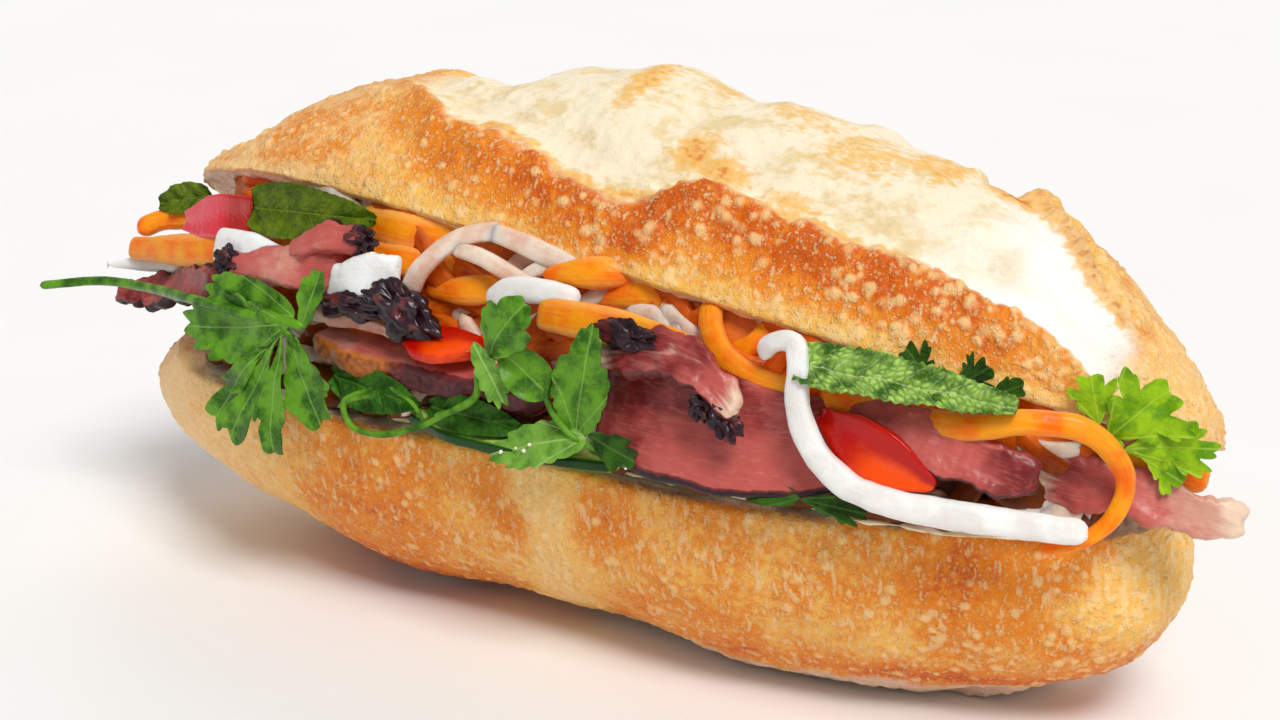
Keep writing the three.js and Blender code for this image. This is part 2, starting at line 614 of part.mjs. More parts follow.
// Chilli: slices cut on the slant.
add('chilli_slice_1', CHILLI, make(slice, {
  points: [[53.5, -37, 62], [64, -38.5, 57.5], [76, -37, 52.8]], widths: [3, 9, 9.5, 3],
  side: [0.5, 0.2, 1], thickness: 2.6, ragged: 0.1, sag: -0.8,
}));
add('chilli_slice_2', CHILLI, make(slice, {
  points: [[-35, -37.5, 60.5], [-27, -39, 60.5], [-18, -38, 61]], widths: [5, 10, 10, 5],
  side: [0, 1, 0.3], thickness: 2.6, ragged: 0.1,
}));
add('chilli_slice_3', CHILLI, make(slice, {
  points: [[-106.7, -17, 67], [-92, -23.5, 71.6], [-79.2, -27.5, 74.6]], widths: [4, 8.6, 9, 8],
  side: [0, 0.3, 1], thickness: 3.2, ragged: 0.1, sag: -1,
}));

// Roast pork: slices with a dark crust, and the burnt ends on them.
add(
  'pork_fold',
  PORK,
  make(slice, {
    points: [[9, -38, 65.5], [21, -40, 67.8], [33, -42.2, 66.8], [41, -43.6, 62]], widths: [8, 9, 8, 5.5],
    side: [0.1, 0.6, 0.8], thickness: 3.6,
  }),
  make(chunk, { centre: [38.4, -44.2, 59.8], size: [8, 4, 4.5], long: [0.6, 0, -0.8], seed: 2 }),
  make(chunk, { centre: [33.5, -44, 61], size: [4.5, 3.4, 4], long: [0.2, 0, -1], seed: 6 }),
  make(chunk, { centre: [16.2, -40.5, 70.2], size: [12, 4, 5], long: [1, 0, -0.1], seed: 5 }),
);
add('pork_slice_1', PORK, make(slice, {
  points: [[8, -37, 56], [24, -39.5, 55.5], [40, -39.5, 55], [60, -35, 56]], widths: [17, 22, 21, 15],
  side: [0, 0.3, 1], thickness: 4.2, sag: -1.5, columns: 12,
}));
add('pork_slice_2', PORK, make(slice, {
  points: [[57, -34, 61], [68, -34.5, 60], [80, -32.8, 57.6], [92, -29.8, 54.6]], widths: [9, 11, 10, 7],
  side: [0.2, 0.5, 0.9], thickness: 4,
}));
add('pork_slice_3', PORK, make(slice, {
  points: [[-59, -30, 55], [-46, -31, 54.5], [-30, -32, 54], [-14, -32, 54], [-3, -32, 54]],
  widths: [14, 19, 19, 18, 16], side: [0.05, 1, 0.12], thickness: 6.4,
}));
add('pork_slice_4', PORK, make(slice, {
  points: [[-60, -31, 60.5], [-48, -32, 60.6], [-36, -32, 60.6]], widths: [9, 11, 9],
  side: [0.05, 1, 0.1], thickness: 3,
}));
add(
  'pork_left',
  PORK,
  make(slice, {
    points: [[-80, -34, 66.6], [-66, -35, 68], [-53, -34, 69]], widths: [6, 8.5, 8],
    side: [0.1, 0.5, 0.9], thickness: 4.5,
  }),
  make(slice, {
    points: [[-65, -33.5, 71.6], [-56.5, -34, 75], [-47, -33.5, 76.8]], widths: [4, 6.4, 4.6],
    side: [0.1, 0.5, 0.9], thickness: 4.5, ragged: 0.3,
  }),
  make(chunk, { centre: [-48, -34, 76.4], size: [6, 4.4, 4.6], seed: 8 }),
  make(chunk, { centre: [-80, -34.8, 67], size: [6.4, 4.4, 5], seed: 3 }),
);
add('pork_far_left', PORK, make(slice, {
  points: [[-126, -17, 49], [-112, -18, 51.5], [-98, -25, 57], [-86, -31, 61]], widths: [5, 7, 8, 7],
  side: [0, 0.5, 0.9], thickness: 4,
}));
add(
  'pork_burnt_end',
  CHAR,
  make(chunk, { centre: [-47, -38.4, 64.8], size: [15, 5.4, 4.6], long: [1, -0.1, 0.1], seed: 1 }),
  make(chunk, { centre: [-34.5, -39.4, 65.8], size: [15, 6.4, 8], long: [1, 0, -0.5], seed: 4 }),
);
add('pork_tip', PORK, make(slice, {
  points: [[86, -21, 54], [99, -18.5, 51.4], [110.5, -14, 48.8], [121.6, -9, 46.4]],
  widths: [10, 9, 8.6, 5.6], side: [0, 0.4, 1], thickness: 4.6,
}));

// More pickles that show between the slices.
add('daikon_slice', DAIKON, make(slice, {
  points: [[-54.3, -35.5, 67.9], [-45.3, -36.5, 69.7], [-38.4, -35, 70.8]], widths: [7, 9.5, 8.5],
  side: [0, 0.3, 1], thickness: 3, ragged: 0.3,
}));
add(
  'daikon_curls',
  DAIKON,
  make(strip, {
    width: 3.8, thickness: 2.2, taper: [1.2, 1],
    points: [[-37.1, -34, 67.8], [-34.8, -33.5, 72.4], [-30.6, -32, 76.8], [-25.6, -30, 79.9],
      [-19.7, -28, 81]],
  }),
  make(strip, {
    width: 3.4, thickness: 2.2,
    points: [[-28.4, -31.4, 77.2], [-21.9, -32, 76.7], [-15.3, -32.5, 74.8], [-9, -32.5, 72.9]],
  }),
  make(strip, {
    width: 4.2, thickness: 2.2,
    points: [[-22, -28.5, 80.8], [-13.1, -29.4, 79.6], [-6, -29.6, 78], [-0.2, -29, 76]],
  }),
  make(strip, {
    width: 3, thickness: 2.2, points: [[-14.4, -31, 72.6], [-9.4, -30, 76], [-2.9, -27.6, 77.5]],
  }),
);
add('daikon_strip_1', DAIKON, make(strip, {
  width: 5, points: [[-17.7, -35, 69.2], [-13, -35.8, 72.7], [-5, -35.5, 73.6], [1.7, -34, 72.8]],
}));
add('daikon_strip_2', DAIKON, make(strip, {
  width: 7, thickness: 3, taper: [1.1, 0.3],
  points: [[-87.4, -30, 68], [-76.4, -33, 69.8], [-66.1, -33.5, 70.6]],
}));
add('daikon_strip_3', DAIKON, make(strip, {
  width: 4, taper: [0.3, 1], points: [[-131, -15, 53], [-120, -14, 55], [-108, -16, 57]],
}));
add('carrot_strip_4', CARROT, make(strip, {
  width: 8, points: [[-56, -24, 77], [-43, -27, 77], [-30, -24, 76]],
}));
add('carrot_strip_5', CARROT, make(strip, { points: [[-54, -27, 72], [-42, -29.5, 72], [-30, -27, 71.5]] }));
add('carrot_strip_6', CARROT, make(strip, { points: [[-36, -30, 67.5], [-26, -30.5, 69], [-14, -27, 71]] }));
add('carrot_strip_7', CARROT, make(strip, { points: [[-8, -32, 75.5], [2, -30, 77], [13, -24, 77]] }));
add('carrot_strip_8', CARROT, make(strip, { points: [[0, -28, 72.5], [12, -27, 74], [24, -22, 75]] }));
add('carrot_strip_9', CARROT, make(strip, {
  width: 4.2, points: [[35.2, -22, 73.8], [36.6, -25.5, 71.5], [35, -28, 68.6], [30, -28, 66.2]],
}));
add('carrot_strip_10', CARROT, make(strip, {
  width: 6, points: [[100, -15.5, 56], [107, -11, 54], [113, -6, 51.5]],
}));

// Dark leaves behind the rest: coriander under the mint and along the lip, and salad leaves.
const FACE_DARK = [0.3, -1, 0.3];
add(
  'coriander_leaf_3',
  HERB,
  make(stem, { width: 1.8, steps: 6, points: [[58, -26, 66.5], [68, -27.2, 66.8], [82, -25.5, 66]] }),
  leaf([71, -27.2, 66.8], [64.5, -27.8, 73.4], FACE_DARK, 9, 5, 0.5, 0.4, 0.5),
  leaf([73.8, -26.8, 66.8], [80.4, -25.9, 72.1], FACE_DARK, 9, 5, 0.5, 0.4, 0.5),
  leaf([80, -25.8, 66.2], [86, -24.4, 69.3], FACE_DARK, 6, 3, 0.5, 0.4, 0.5),
);
add(
  'coriander_leaf_4',
  HERB,
  leaf([53, -41, 46.9], [39.5, -42, 47.3], [0.1, -0.9, 0.4], 5.4, 3, 0.3, 0.2),
  leaf([51, -41, 46.9], [65, -39.8, 46.3], [0.1, -0.9, 0.4], 6.4, 5, 0.45, 0.3, 0.2),
);
add('salad_leaf_1', HERB, make(mintLeaf, {
  base: [-52, -39, 50], tip: [-30, -41, 48.5], face: [0, -1, 0.3], width: 9, arch: 1,
}));
add('salad_leaf_2', HERB, make(mintLeaf, {
  base: [-28, -40.5, 48.5], tip: [-5, -42, 48.5], face: [0, -0.9, 0.5], width: 7, arch: 1,
}));

// Cucumber and mayonnaise lie along the lower half of the roll.
add('cucumber_slice', CUCUMBER, make(slice, {
  points: [[-34, -33, 45], [-20, -34, 44.7], [-4, -34, 44.6], [13, -32, 44.6]], widths: [14, 21, 22, 18],
  side: [0, 1, 0], thickness: 3.2, ragged: 0.2,
}));

const lipDepth = (x) => (ROLL_WIDTH / 2) * planScale(x / (ROLL_LENGTH / 2));
const spreadEdge = (x) => -lipDepth(x) + 0.6 + 0.7 * Math.sin(0.31 * x) + 0.5 * Math.sin(0.13 * x + 1);
const mayonnaise = (grow) => slab((u, v) => {
  const x = -94 + 186 * u + grow * (2 * u - 1);
  const y = THREE.MathUtils.lerp(spreadEdge(x) - grow, 0.55 * lipDepth(x) + grow, v);
  return point(x, y, LIP_HEIGHT + CLEARANCE + SPREAD_THICKNESS / 2);
}, 20, 1, SPREAD_THICKNESS + 2 * grow);
add('mayonnaise', CREAM, mayonnaise);

// The heap of pickled shreds inside: its uneven outline fills the mouth as far back as the hinge.
function heapRing(x) {
  const t = x / (ROLL_LENGTH / 2);
  const depth = (ROLL_WIDTH / 2) * planScale(t);
  const low = LIP_HEIGHT + SPREAD_THICKNESS + 2 * CLEARANCE;
  const top = raise(x, -depth, 0);
  const lump = (k) => 1.2 * Math.sin(0.37 * x + 2.1 * k) + 0.8 * Math.sin(0.83 * x - 1.3 * k);
  const ring = [];
  const steps = 7;
  for (let k = 0; k <= steps; k += 1) {
    const share = k / steps;
    const front = THREE.MathUtils.lerp(-depth, top.y, share);
    ring.push(point(x, front + 2.5 + lump(k), THREE.MathUtils.lerp(low, top.z - 1.5, share)));
  }
  const back = Math.min(HINGE_Y - 6, depth - 4);
  for (const share of [0.35, 0.7, 1]) {
    const y = THREE.MathUtils.lerp(top.y, back, share);
    ring.push(point(x, y, THREE.MathUtils.lerp(top.z - 1.5, raise(x, back, 0).z - 1.5, share)));
  }
  ring.push(point(x, back, low));
  ring.push(point(x, 0, low));
  return ring;
}
const heap = (grow) => {
  const rings = [];
  for (let x = -98; x <= 98; x += 14) rings.push(heapRing(x + grow * Math.sign(x)));
  return loft(rings);
};
add('pickle_heap', CARROT, heap);

export default banhMi;
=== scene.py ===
# A banh mi: a crusty split roll, hinged along its back and opened at the front, filled with roast pork,
# pickled carrot and daikon, cucumber, chilli, mint and coriander. Sizes are in mm until piece() and aim()
# make them metres. X runs along the roll, the mouth opens towards -Y, and the sole stands on Z = 0.
import math

import bmesh
import bpy
import numpy as np
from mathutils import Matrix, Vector


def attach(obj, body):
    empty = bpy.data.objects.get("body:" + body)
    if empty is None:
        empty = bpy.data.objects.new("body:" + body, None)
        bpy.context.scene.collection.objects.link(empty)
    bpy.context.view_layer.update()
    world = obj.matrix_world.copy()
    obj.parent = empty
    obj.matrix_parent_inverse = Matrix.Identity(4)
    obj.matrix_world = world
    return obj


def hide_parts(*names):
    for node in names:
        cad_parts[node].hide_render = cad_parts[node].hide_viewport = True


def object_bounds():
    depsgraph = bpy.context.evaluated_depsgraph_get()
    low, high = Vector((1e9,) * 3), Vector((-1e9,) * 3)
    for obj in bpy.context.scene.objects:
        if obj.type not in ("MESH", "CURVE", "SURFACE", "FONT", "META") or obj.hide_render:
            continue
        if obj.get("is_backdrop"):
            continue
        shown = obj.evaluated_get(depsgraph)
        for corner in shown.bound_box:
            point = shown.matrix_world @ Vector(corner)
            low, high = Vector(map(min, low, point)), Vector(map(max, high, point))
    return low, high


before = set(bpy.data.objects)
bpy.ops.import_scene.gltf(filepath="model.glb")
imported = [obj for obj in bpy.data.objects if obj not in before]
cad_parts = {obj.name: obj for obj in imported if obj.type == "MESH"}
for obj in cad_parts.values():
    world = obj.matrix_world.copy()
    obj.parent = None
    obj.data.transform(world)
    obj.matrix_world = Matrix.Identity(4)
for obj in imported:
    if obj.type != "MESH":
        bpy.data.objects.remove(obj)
cad_low, cad_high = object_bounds()

# ---- lower half of the roll ----
# A hand-shaped wheat roll, baked hard. Its lower half is a golden crust with round pale blisters, a
# floury sole and cream crumb on the cut. It carries every filling.

MM = 0.001
ROLL_LENGTH = 221
ROLL_WIDTH = 78
LIP_HEIGHT = 41
SOLE_SINK = 1.5
LEFT_FULLNESS = 4.2
RIGHT_FULLNESS = 2.3
TIP_ROUNDNESS = 2.4
SOLE_LEFT_FULLNESS = 2.4
SOLE_RIGHT_FULLNESS = 7.4
SOLE_ROUNDNESS = 2.2
LEFT_BELLY = 11.5
RIGHT_BELLY = 5
LOWER_SHIFT = -3
LOWER_RIGHT_REACH = 107.5
LOWER_SQUARENESS = 2.3
CUT_ROUGHNESS = 0.5
LIP_ROUNDING = 3
POINT_GAP = 0.35

# The flat strip under the sole, on which the roll stands: where it fades in and out along the roll, as a
# share of its half length, and across it, in mm.
STRIP_LEFT = (-0.58, -0.38)
STRIP_RIGHT = (0.82, 0.66)
STRIP_FRONT = (-9.5, -6.5)
STRIP_BACK = (18, 13)
FLOOR_GAP = 0.02

# Whole numbers that scatter the cells of noise(), and how far apart its seeds lie.
CELL_FACTORS = np.array([374761393, 668265263, 1440662683])
CELL_MIXER = 1274126177
SEED_STEP = 31.7


def smooth(start, end, value):
    """0 at start, 1 at end, with an easy curve between them."""
    share = np.clip((value - start) / (end - start), 0, 1)
    return share * share * (3 - 2 * share)


def bell(value, centre, width):
    """1 at centre, falling away smoothly on both sides of it."""
    return np.exp(-(((value - centre) / width) ** 2))


def unit(vectors):
    """The same directions, each 1 long."""
    vectors = np.asarray(vectors, float)
    return vectors / np.maximum(np.linalg.norm(vectors, axis=-1, keepdims=True), 1e-9)


def noise(points, size, seed=0, octaves=1):
    """Even noise from -1 to 1 over points, with lumps about size mm across."""
    total = 0
    for octave in range(octaves):
        scaled = np.asarray(points, float) * 2**octave / size + SEED_STEP * (seed + octave)
        cell = np.floor(scaled).astype(np.int64)
        part = scaled - cell
        part = part * part * (3 - 2 * part)
        layer = 0
        for corner in np.ndindex(2, 2, 2):
            corner = np.array(corner)
            mixed = (cell + corner) @ CELL_FACTORS
            mixed = (mixed ^ (mixed >> 13)) * CELL_MIXER
            value = ((mixed ^ (mixed >> 16)) & 0xFFFF) / 32767.5 - 1
            layer = layer + value * np.where(corner, part, 1 - part).prod(-1)
        total = total + layer * 0.5**octave
    return total


def xyz(x, y, z):
    """Points from their three coordinates, each of which may run along one axis alone."""
    return np.stack(np.broadcast_arrays(x, y, z), -1)


class Shape:
    """Points in mm, four-sided and three-sided faces, and masks with a value for each point."""

    def __init__(self, points, quads, triangles, masks):
        self.points = points
        self.quads = quads
        self.triangles = triangles
        self.masks = masks


def loft(rings, **masks):
    """Rings of points joined side by side, with a fan over each end. Its faces point out."""
    rows, sides = rings.shape[:2]
    start = np.arange(rows - 1)[:, None] * sides
    here = np.arange(sides)
    after = (here + 1) % sides
    quads = [start + here, start + after, start + sides + after, start + sides + here]
    quads = np.stack(quads, -1).reshape(-1, 4)
    hub = rows * sides
    last = hub - sides
    near = np.stack([np.full(sides, hub), after, here], -1)
    far = np.stack([np.full(sides, hub + 1), last + here, last + after], -1)
    triangles = np.concatenate([near, far])
    points = np.concatenate([rings.reshape(-1, 3), rings[[0, -1]].mean(1)])
    full = {}
    for name, values in masks.items():
        values = np.broadcast_to(values, (rows, sides) + np.shape(values)[2:])
        flat = values.reshape((rows * sides,) + values.shape[2:])
        full[name] = np.concatenate([flat, values[[0, -1]].mean(1)])
    a, b, c = (points[quads[:, k]] for k in range(3))
    if (a * np.cross(b, c)).sum() < 0:
        quads = quads[:, ::-1]
        triangles = triangles[:, ::-1]
    return Shape(points, quads, triangles, full)


def outward(rings):
    """The direction out of a closed skin of rings at each of its points."""
    along = np.gradient(rings, axis=0)
    around = np.roll(rings, -1, 1) - np.roll(rings, 1, 1)
    normal = unit(np.cross(around, along))
    way = (normal * (rings - rings.mean(1, keepdims=True))).sum()
    return normal if way > 0 else -normal


def roughened(rings, height):
    """Rings pushed out of their own skin, by height mm at each point."""
    return rings + outward(rings) * height[..., None]


def piece(name, shape, finish, slot, *nodes):
    """A mesh object that rides on the sandwich and stands for the nodes of the frame that are named."""
    mesh = bpy.data.meshes.new(name)
    faces = shape.quads.tolist() + shape.triangles.tolist()
    mesh.from_pydata((shape.points * MM).tolist(), [], faces)
    for mask, values in shape.masks.items():
        kind, field = ("FLOAT", "value") if values.ndim == 1 else ("FLOAT_VECTOR", "vector")
        layer = mesh.attributes.new(mask, kind, "POINT")
        layer.data.foreach_set(field, values.astype(np.float32).ravel())
    mesh.shade_smooth()
    mesh.materials.append(finish.material)
    made = bpy.data.objects.new(name, mesh)
    bpy.context.scene.collection.objects.link(made)
    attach(made, "root")
    if nodes:
        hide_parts(*nodes)


def tint(red, green, blue):
    """A colour seen as red, green and blue from 0 to 255, as the light that it gives back."""
    shares = [channel / 255 for channel in (red, green, blue)]
    return tuple(c / 12.92 if c <= 0.04045 else ((c + 0.055) / 1.055) ** 2.4 for c in shares) + (1,)


class Channel:
    """A shader socket that is read as a number. Each operator adds its Math node."""

    def __init__(self, finish, socket):
        self.finish = finish
        self.socket = socket

    def math(self, operation, *terms):
        return self.finish.node("ShaderNodeMath", {"operation": operation}, dict(enumerate(terms)))

    def __add__(self, other):
        return self.math("ADD", self, other)

    def __sub__(self, other):
        return self.math("SUBTRACT", self, other)

    def __rsub__(self, other):
        return self.math("SUBTRACT", other, self)

    def __mul__(self, other):
        return self.math("MULTIPLY", self, other)

    def __truediv__(self, other):
        return self.math("DIVIDE", self, other)

    def __mod__(self, other):
        return self.math("FLOORED_MODULO", self, other)

    def __abs__(self):
        return self.math("ABSOLUTE", self)

    __radd__ = __add__
    __rmul__ = __mul__

    def above(self, low, high):
        """0 up to low, 1 from high, with an easy curve between them. high may be the lower one."""
        settings = {"interpolation_type": "SMOOTHSTEP"}
        if low < high:
            return self.finish.node("ShaderNodeMapRange", settings, {0: self, 1: low, 2: high})
        rising = self.finish.node("ShaderNodeMapRange", settings, {0: self, 1: high, 2: low})
        return 1 - rising


class Finish:
    """A material around one Principled shader. What is even all over is set on the shader's own sockets."""

    def __init__(self, name, shine=0.25, **even):
        self.material = bpy.data.materials.new(name)
        self.material.use_nodes = True
        self.tree = self.material.node_tree
        self.shader = self.tree.nodes["Principled BSDF"]
        self.space = None
        self.shader.inputs["Specular IOR Level"].default_value = shine
        for socket, value in even.items():
            self.shader.inputs[socket.replace("_", " ").title()].default_value = value

    def node(self, kind, settings=None, sockets=None, output=0):
        made = self.tree.nodes.new(kind)
        for name, value in (settings or {}).items():
            setattr(made, name, value)
        for key, value in (sockets or {}).items():
            self.feed(made.inputs[key], value)
        return Channel(self, made.outputs[output])

    def feed(self, socket, value):
        if isinstance(value, Channel):
            self.tree.links.new(value.socket, socket)
        else:
            socket.default_value = value

    def mask(self, name):
        """A mask that the mesh carries, read as a number."""
        return self.node("ShaderNodeAttribute", {"attribute_name": name}, output=2)

    def lay(self):
        """Where a point lies on its own piece, in mm: its whole place, how far along and how far across."""
        place = self.node("ShaderNodeAttribute", {"attribute_name": "lay"}, output=1)
        parts = [self.node("ShaderNodeSeparateXYZ", None, {0: place}, output=k) for k in range(2)]
        return place, *parts

    def room(self):
        """Where a point is on the whole sandwich, in metres."""
        if self.space is None:
            self.space = self.node("ShaderNodeTexCoord", output=3)
        return self.space

    def noise(self, size, detail=2, stretch=(1, 1, 1), place=None, wander=0):
        """Noise about 0.5 with lumps size mm across, drawn out by stretch. It lies over the whole sandwich,
        or over place."""
        scale = [1 / (size * (MM if place is None else 1) * s) for s in stretch]
        drawn = self.node("ShaderNodeMapping", None, {"Vector": place or self.room(), "Scale": scale})
        sockets = {"Vector": drawn, "Scale": 1, "Detail": detail, "Distortion": wander}
        return self.node("ShaderNodeTexNoise", None, sockets)

    def cells(self, size):
        """Distance to the nearest of points strewn size mm apart."""
        return self.node("ShaderNodeTexVoronoi", None, {"Vector": self.room(), "Scale": 1 / (size * MM)})

    def coats(self, colour, *coats):
        """A colour with others laid over it in turn. Each coat is its share, 0 to 1, and its colour."""
        settings = {"data_type": "RGBA", "clamp_factor": True}
        for share, over in coats:
            colour = self.node("ShaderNodeMix", settings, {0: share, 6: colour, 7: over}, output=2)
        return colour

    def show(self, colour, roughness=None, relief=None, depth=0.1):
        """Feeds the shader. relief is a height from 0 to 1 that stands for depth mm."""
        self.feed(self.shader.inputs["Base Color"], colour)
        if roughness is not None:
            self.feed(self.shader.inputs["Roughness"], roughness)
        if relief is not None:
            sockets = {"Height": relief, "Distance": depth * MM, "Strength": 1}
            self.feed(self.shader.inputs["Normal"], self.node("ShaderNodeBump", None, sockets))


GOLDEN = tint(250, 190, 92)
AMBER = tint(238, 136, 26)
DEEP_AMBER = tint(214, 92, 4)
BROWN_CRUST = tint(150, 66, 22)
PEACH_CRUST = tint(255, 204, 138)
PALE_CRUST = tint(254, 222, 160)
BLISTER = tint(252, 212, 146)
FLOUR = tint(230, 206, 190)
CRUMB = tint(250, 240, 218)
BURST_CRUST = tint(247, 233, 203)
BURST_SHADE = tint(232, 208, 158)
BURST_FLOUR = tint(254, 252, 246)
TOASTED = tint(242, 186, 92)
SCORCHED = tint(214, 112, 26)

crust = Finish("crust", shine=0.16, roughness=0.42, subsurface_weight=0.05, subsurface_scale=0.002,
               subsurface_radius=(1.0, 0.5, 0.25))
grain = crust.noise(0.4, detail=2)
speckle = crust.noise(1.6, detail=4)
patches = crust.noise(8, detail=3)
streaks = crust.noise(1.3, detail=4, stretch=(1, 1, 3))
tone = crust.mask("bake") + patches + 1.2 * speckle + 0.8 * streaks - 1.5
pale_streaks = (streaks + 0.4 * (speckle - 0.5) - 0.1 * (crust.mask("bake") - 0.4)).above(0.52, 0.68)
beads = (0.7 * crust.noise(2.4, detail=2) - crust.cells(1.1)).above(0, 0.12)
dust = (crust.mask("flour") + 0.9 * (crust.noise(0.9, detail=4) - 0.5)).above(0.3, 0.75)
wrinkles = crust.noise(1.5, detail=5, stretch=(1.5, 1, 1), wander=0.5)
scorch = crust.mask("toast") + 0.9 * (wrinkles - 0.5) + 0.7 * (speckle - 0.5)
burst = crust.coats(
    BURST_CRUST,
    ((0.35 * wrinkles + 0.65 * patches).above(0.46, 0.64), BURST_SHADE),
    (0.85 * crust.mask("flour").above(0.2, 0.9), BURST_FLOUR),
    (0.85 * scorch.above(0.2, 0.7), TOASTED),
    (0.85 * scorch.above(0.7, 1.1), SCORCHED),
)
crust_colour = crust.coats(
    GOLDEN,
    (crust.mask("peach"), PEACH_CRUST),
    (tone.above(-0.05, 0.5), AMBER),
    (tone.above(0.5, 1.0), DEEP_AMBER),
    (tone.above(1.0, 1.6), BROWN_CRUST),
    (0.6 * pale_streaks, PALE_CRUST),
    (0.2 * grain.above(0.5, 0.7), PALE_CRUST),
    (0.35 * beads, BLISTER),
    (0.75 * crust.mask("blister").above(0.05, 0.8), BLISTER),
    (0.75 * dust, FLOUR),
    (crust.mask("slash"), burst),
    (crust.mask("crumb"), CRUMB),
)
dry = crust.mask("slash") + crust.mask("crumb") + dust
crust_relief = (1 - 0.7 * crust.mask("slash")) * (0.35 * grain + 0.6 * speckle + 0.3 * streaks + 0.3 * beads)
crust.show(crust_colour, 0.36 + 0.42 * dry.above(0, 1) + 0.2 * (speckle - 0.5), crust_relief, 0.5)


def plan_scale(t):
    """Half width of the roll at t, from -1 at its left tip to 1 at its right, against the middle."""
    fullness = np.where(t < 0, LEFT_FULLNESS, RIGHT_FULLNESS)
    return np.maximum(0, 1 - np.abs(t) ** fullness) ** (1 / TIP_ROUNDNESS)


# Where the hand-shaped roll swells and pulls in below its lip: place along it, and share of its depth.
SWELLS = [(-0.9, 0.057), (-0.75, 0.036), (-0.62, -0.035), (-0.48, 0.022), (-0.2, -0.055), (-0.05, -0.046),
          (0.1, -0.04), (0.3, 0.017), (0.7, -0.049), (0.85, -0.064)]
SWELL_REACH = 0.12


def girth(t):
    """How deep the lower half is at t, against an even roll."""
    return 1 + sum(share * bell(t, place, SWELL_REACH) for place, share in SWELLS)


def stations(count):
    """Places along the roll from -1 to 1, closer together towards its tips."""
    even = np.linspace(-1, 1, count)
    return (0.9985 * (0.45 * even + 0.55 * np.sin(even * math.pi / 2)))[:, None]


def power(value, exponent):
    """A power that keeps the sign, which squares up a circle."""
    return np.sign(value) * np.abs(value) ** exponent


def blisters(rings, count, radii, where, seed):
    """Round blisters thrown over a skin where the share `where` allows: each point's height, 0 to 1."""
    random = np.random.default_rng(seed)
    rows, sides = rings.shape[:2]
    height = np.zeros((rows, sides))
    uneven = 1 + 0.35 * noise(rings, 1.1, seed, 2)
    for i, j in zip(random.integers(0, rows, count), random.integers(0, sides, count)):
        chance, size = random.random(2)
        if chance > where[i, j]:
            continue
        radius = radii[0] + (radii[1] - radii[0]) * size**2.6
        reach = int(radius / POINT_GAP) + 2
        window = np.s_[max(0, i - reach) : i + reach + 1, max(0, j - reach) : j + reach + 1]
        gap = np.linalg.norm(rings[window] - rings[i, j], axis=-1) / radius * uneven[window]
        dome = np.maximum(0, 1 - gap**2) * min(1, 0.25 + radius / 1.3) * random.uniform(0.35, 1)
        height[window] = np.maximum(height[window], dome)
    return height


def clustered(rings, size, seed):
    """How likely a blister is over a skin, from 0.3 to 1, so that they gather in clusters size mm across."""
    return 0.3 + 0.7 * smooth(-0.3, 0.4, noise(rings, size, seed, 2))


def eased(rings, corners):
    """Rings with their corners, which lie at the given places around each, rounded off over a few points."""
    sides = rings.shape[1]
    away = np.min([np.abs((np.arange(sides) - c + sides / 2) % sides - sides / 2) for c in corners], 0)
    share = smooth(LIP_ROUNDING, 0, away)[None, :, None] * 0.5
    for _ in range(3):
        average = (np.roll(rings, 1, 1) + np.roll(rings, -1, 1)) / 2
        rings = rings + share * (average - rings)
    return rings


def closed_skin(crust_side, cut_side):
    """The rings of one half of the roll, its lip rounded off, and a mask that is 1 on its cut face."""
    crust_count = crust_side.shape[1]
    rings = eased(np.concatenate([crust_side, cut_side], 1), (0, crust_count - 1))
    cut = np.zeros(rings.shape[:2])
    cut[:, crust_count:] = 1
    return rings, cut


t = stations(620)
around = np.linspace(0, math.pi, 250)[None, :]
half = ROLL_WIDTH / 2 * plan_scale(t) * (1 + girth(t)) / 2
fullness = np.where(t < 0, SOLE_LEFT_FULLNESS, SOLE_RIGHT_FULLNESS)
fall = np.maximum(0, 1 - np.abs(t) ** fullness) ** (1 / SOLE_ROUNDNESS)
depth = (LIP_HEIGHT + SOLE_SINK) * fall * girth(t)
y = -half * power(np.cos(around), 2 / LOWER_SQUARENESS)
z = np.maximum(0, LIP_HEIGHT - depth * np.sin(around) ** (2 / LOWER_SQUARENESS))
strip = smooth(*STRIP_LEFT, t) * smooth(*STRIP_RIGHT, t)
z = z * (1 - strip * smooth(*STRIP_FRONT, y) * smooth(*STRIP_BACK, y))
belly = t**4 * np.where(t < 0, -LEFT_BELLY, RIGHT_BELLY)
swell = np.sin(math.pi * np.clip(z / LIP_HEIGHT, 0, 1) ** np.where(t < 0, 1.4, 0.8))
axis = LOWER_SHIFT + t * np.where(t < 0, ROLL_LENGTH / 2, LOWER_RIGHT_REACH)
crust_side = xyz(axis + belly * swell, y, z)
across = np.linspace(1, -1, 62)[None, 1:-1]
rings, cut = closed_skin(crust_side, xyz(axis, half * across, LIP_HEIGHT))
over_lip = np.append(0 * around, smooth(0.99, 0.93, np.abs(across)), 1)
height = rings[..., 2] / LIP_HEIGHT
lean = rings[..., 0] / (ROLL_LENGTH / 2)
clusters = clustered(rings, 11, 9) * (0.35 + 0.65 * smooth(-0.75, -0.3, lean))
spots = blisters(rings, 9000, (0.25, 1.5), clusters * smooth(0.04, 0.2, height) * (1 - cut), 3)
coarse = noise(rings, 14, 1, 2)
pits = noise(rings, 2.6, 2, 3)
lift = 0.5 * coarse + 0.16 * pits + 0.4 * spots
lift = np.where(cut > 0, CUT_ROUGHNESS * noise(rings, 3, 4, 3), lift)
sole = smooth(0.24, 0.02, height)
lift = lift + sole * (1 - cut) * 0.35 * noise(rings, 1.6, 5, 2)
rings = roughened(rings, lift)
rings[..., 2] = np.maximum(rings[..., 2], FLOOR_GAP)


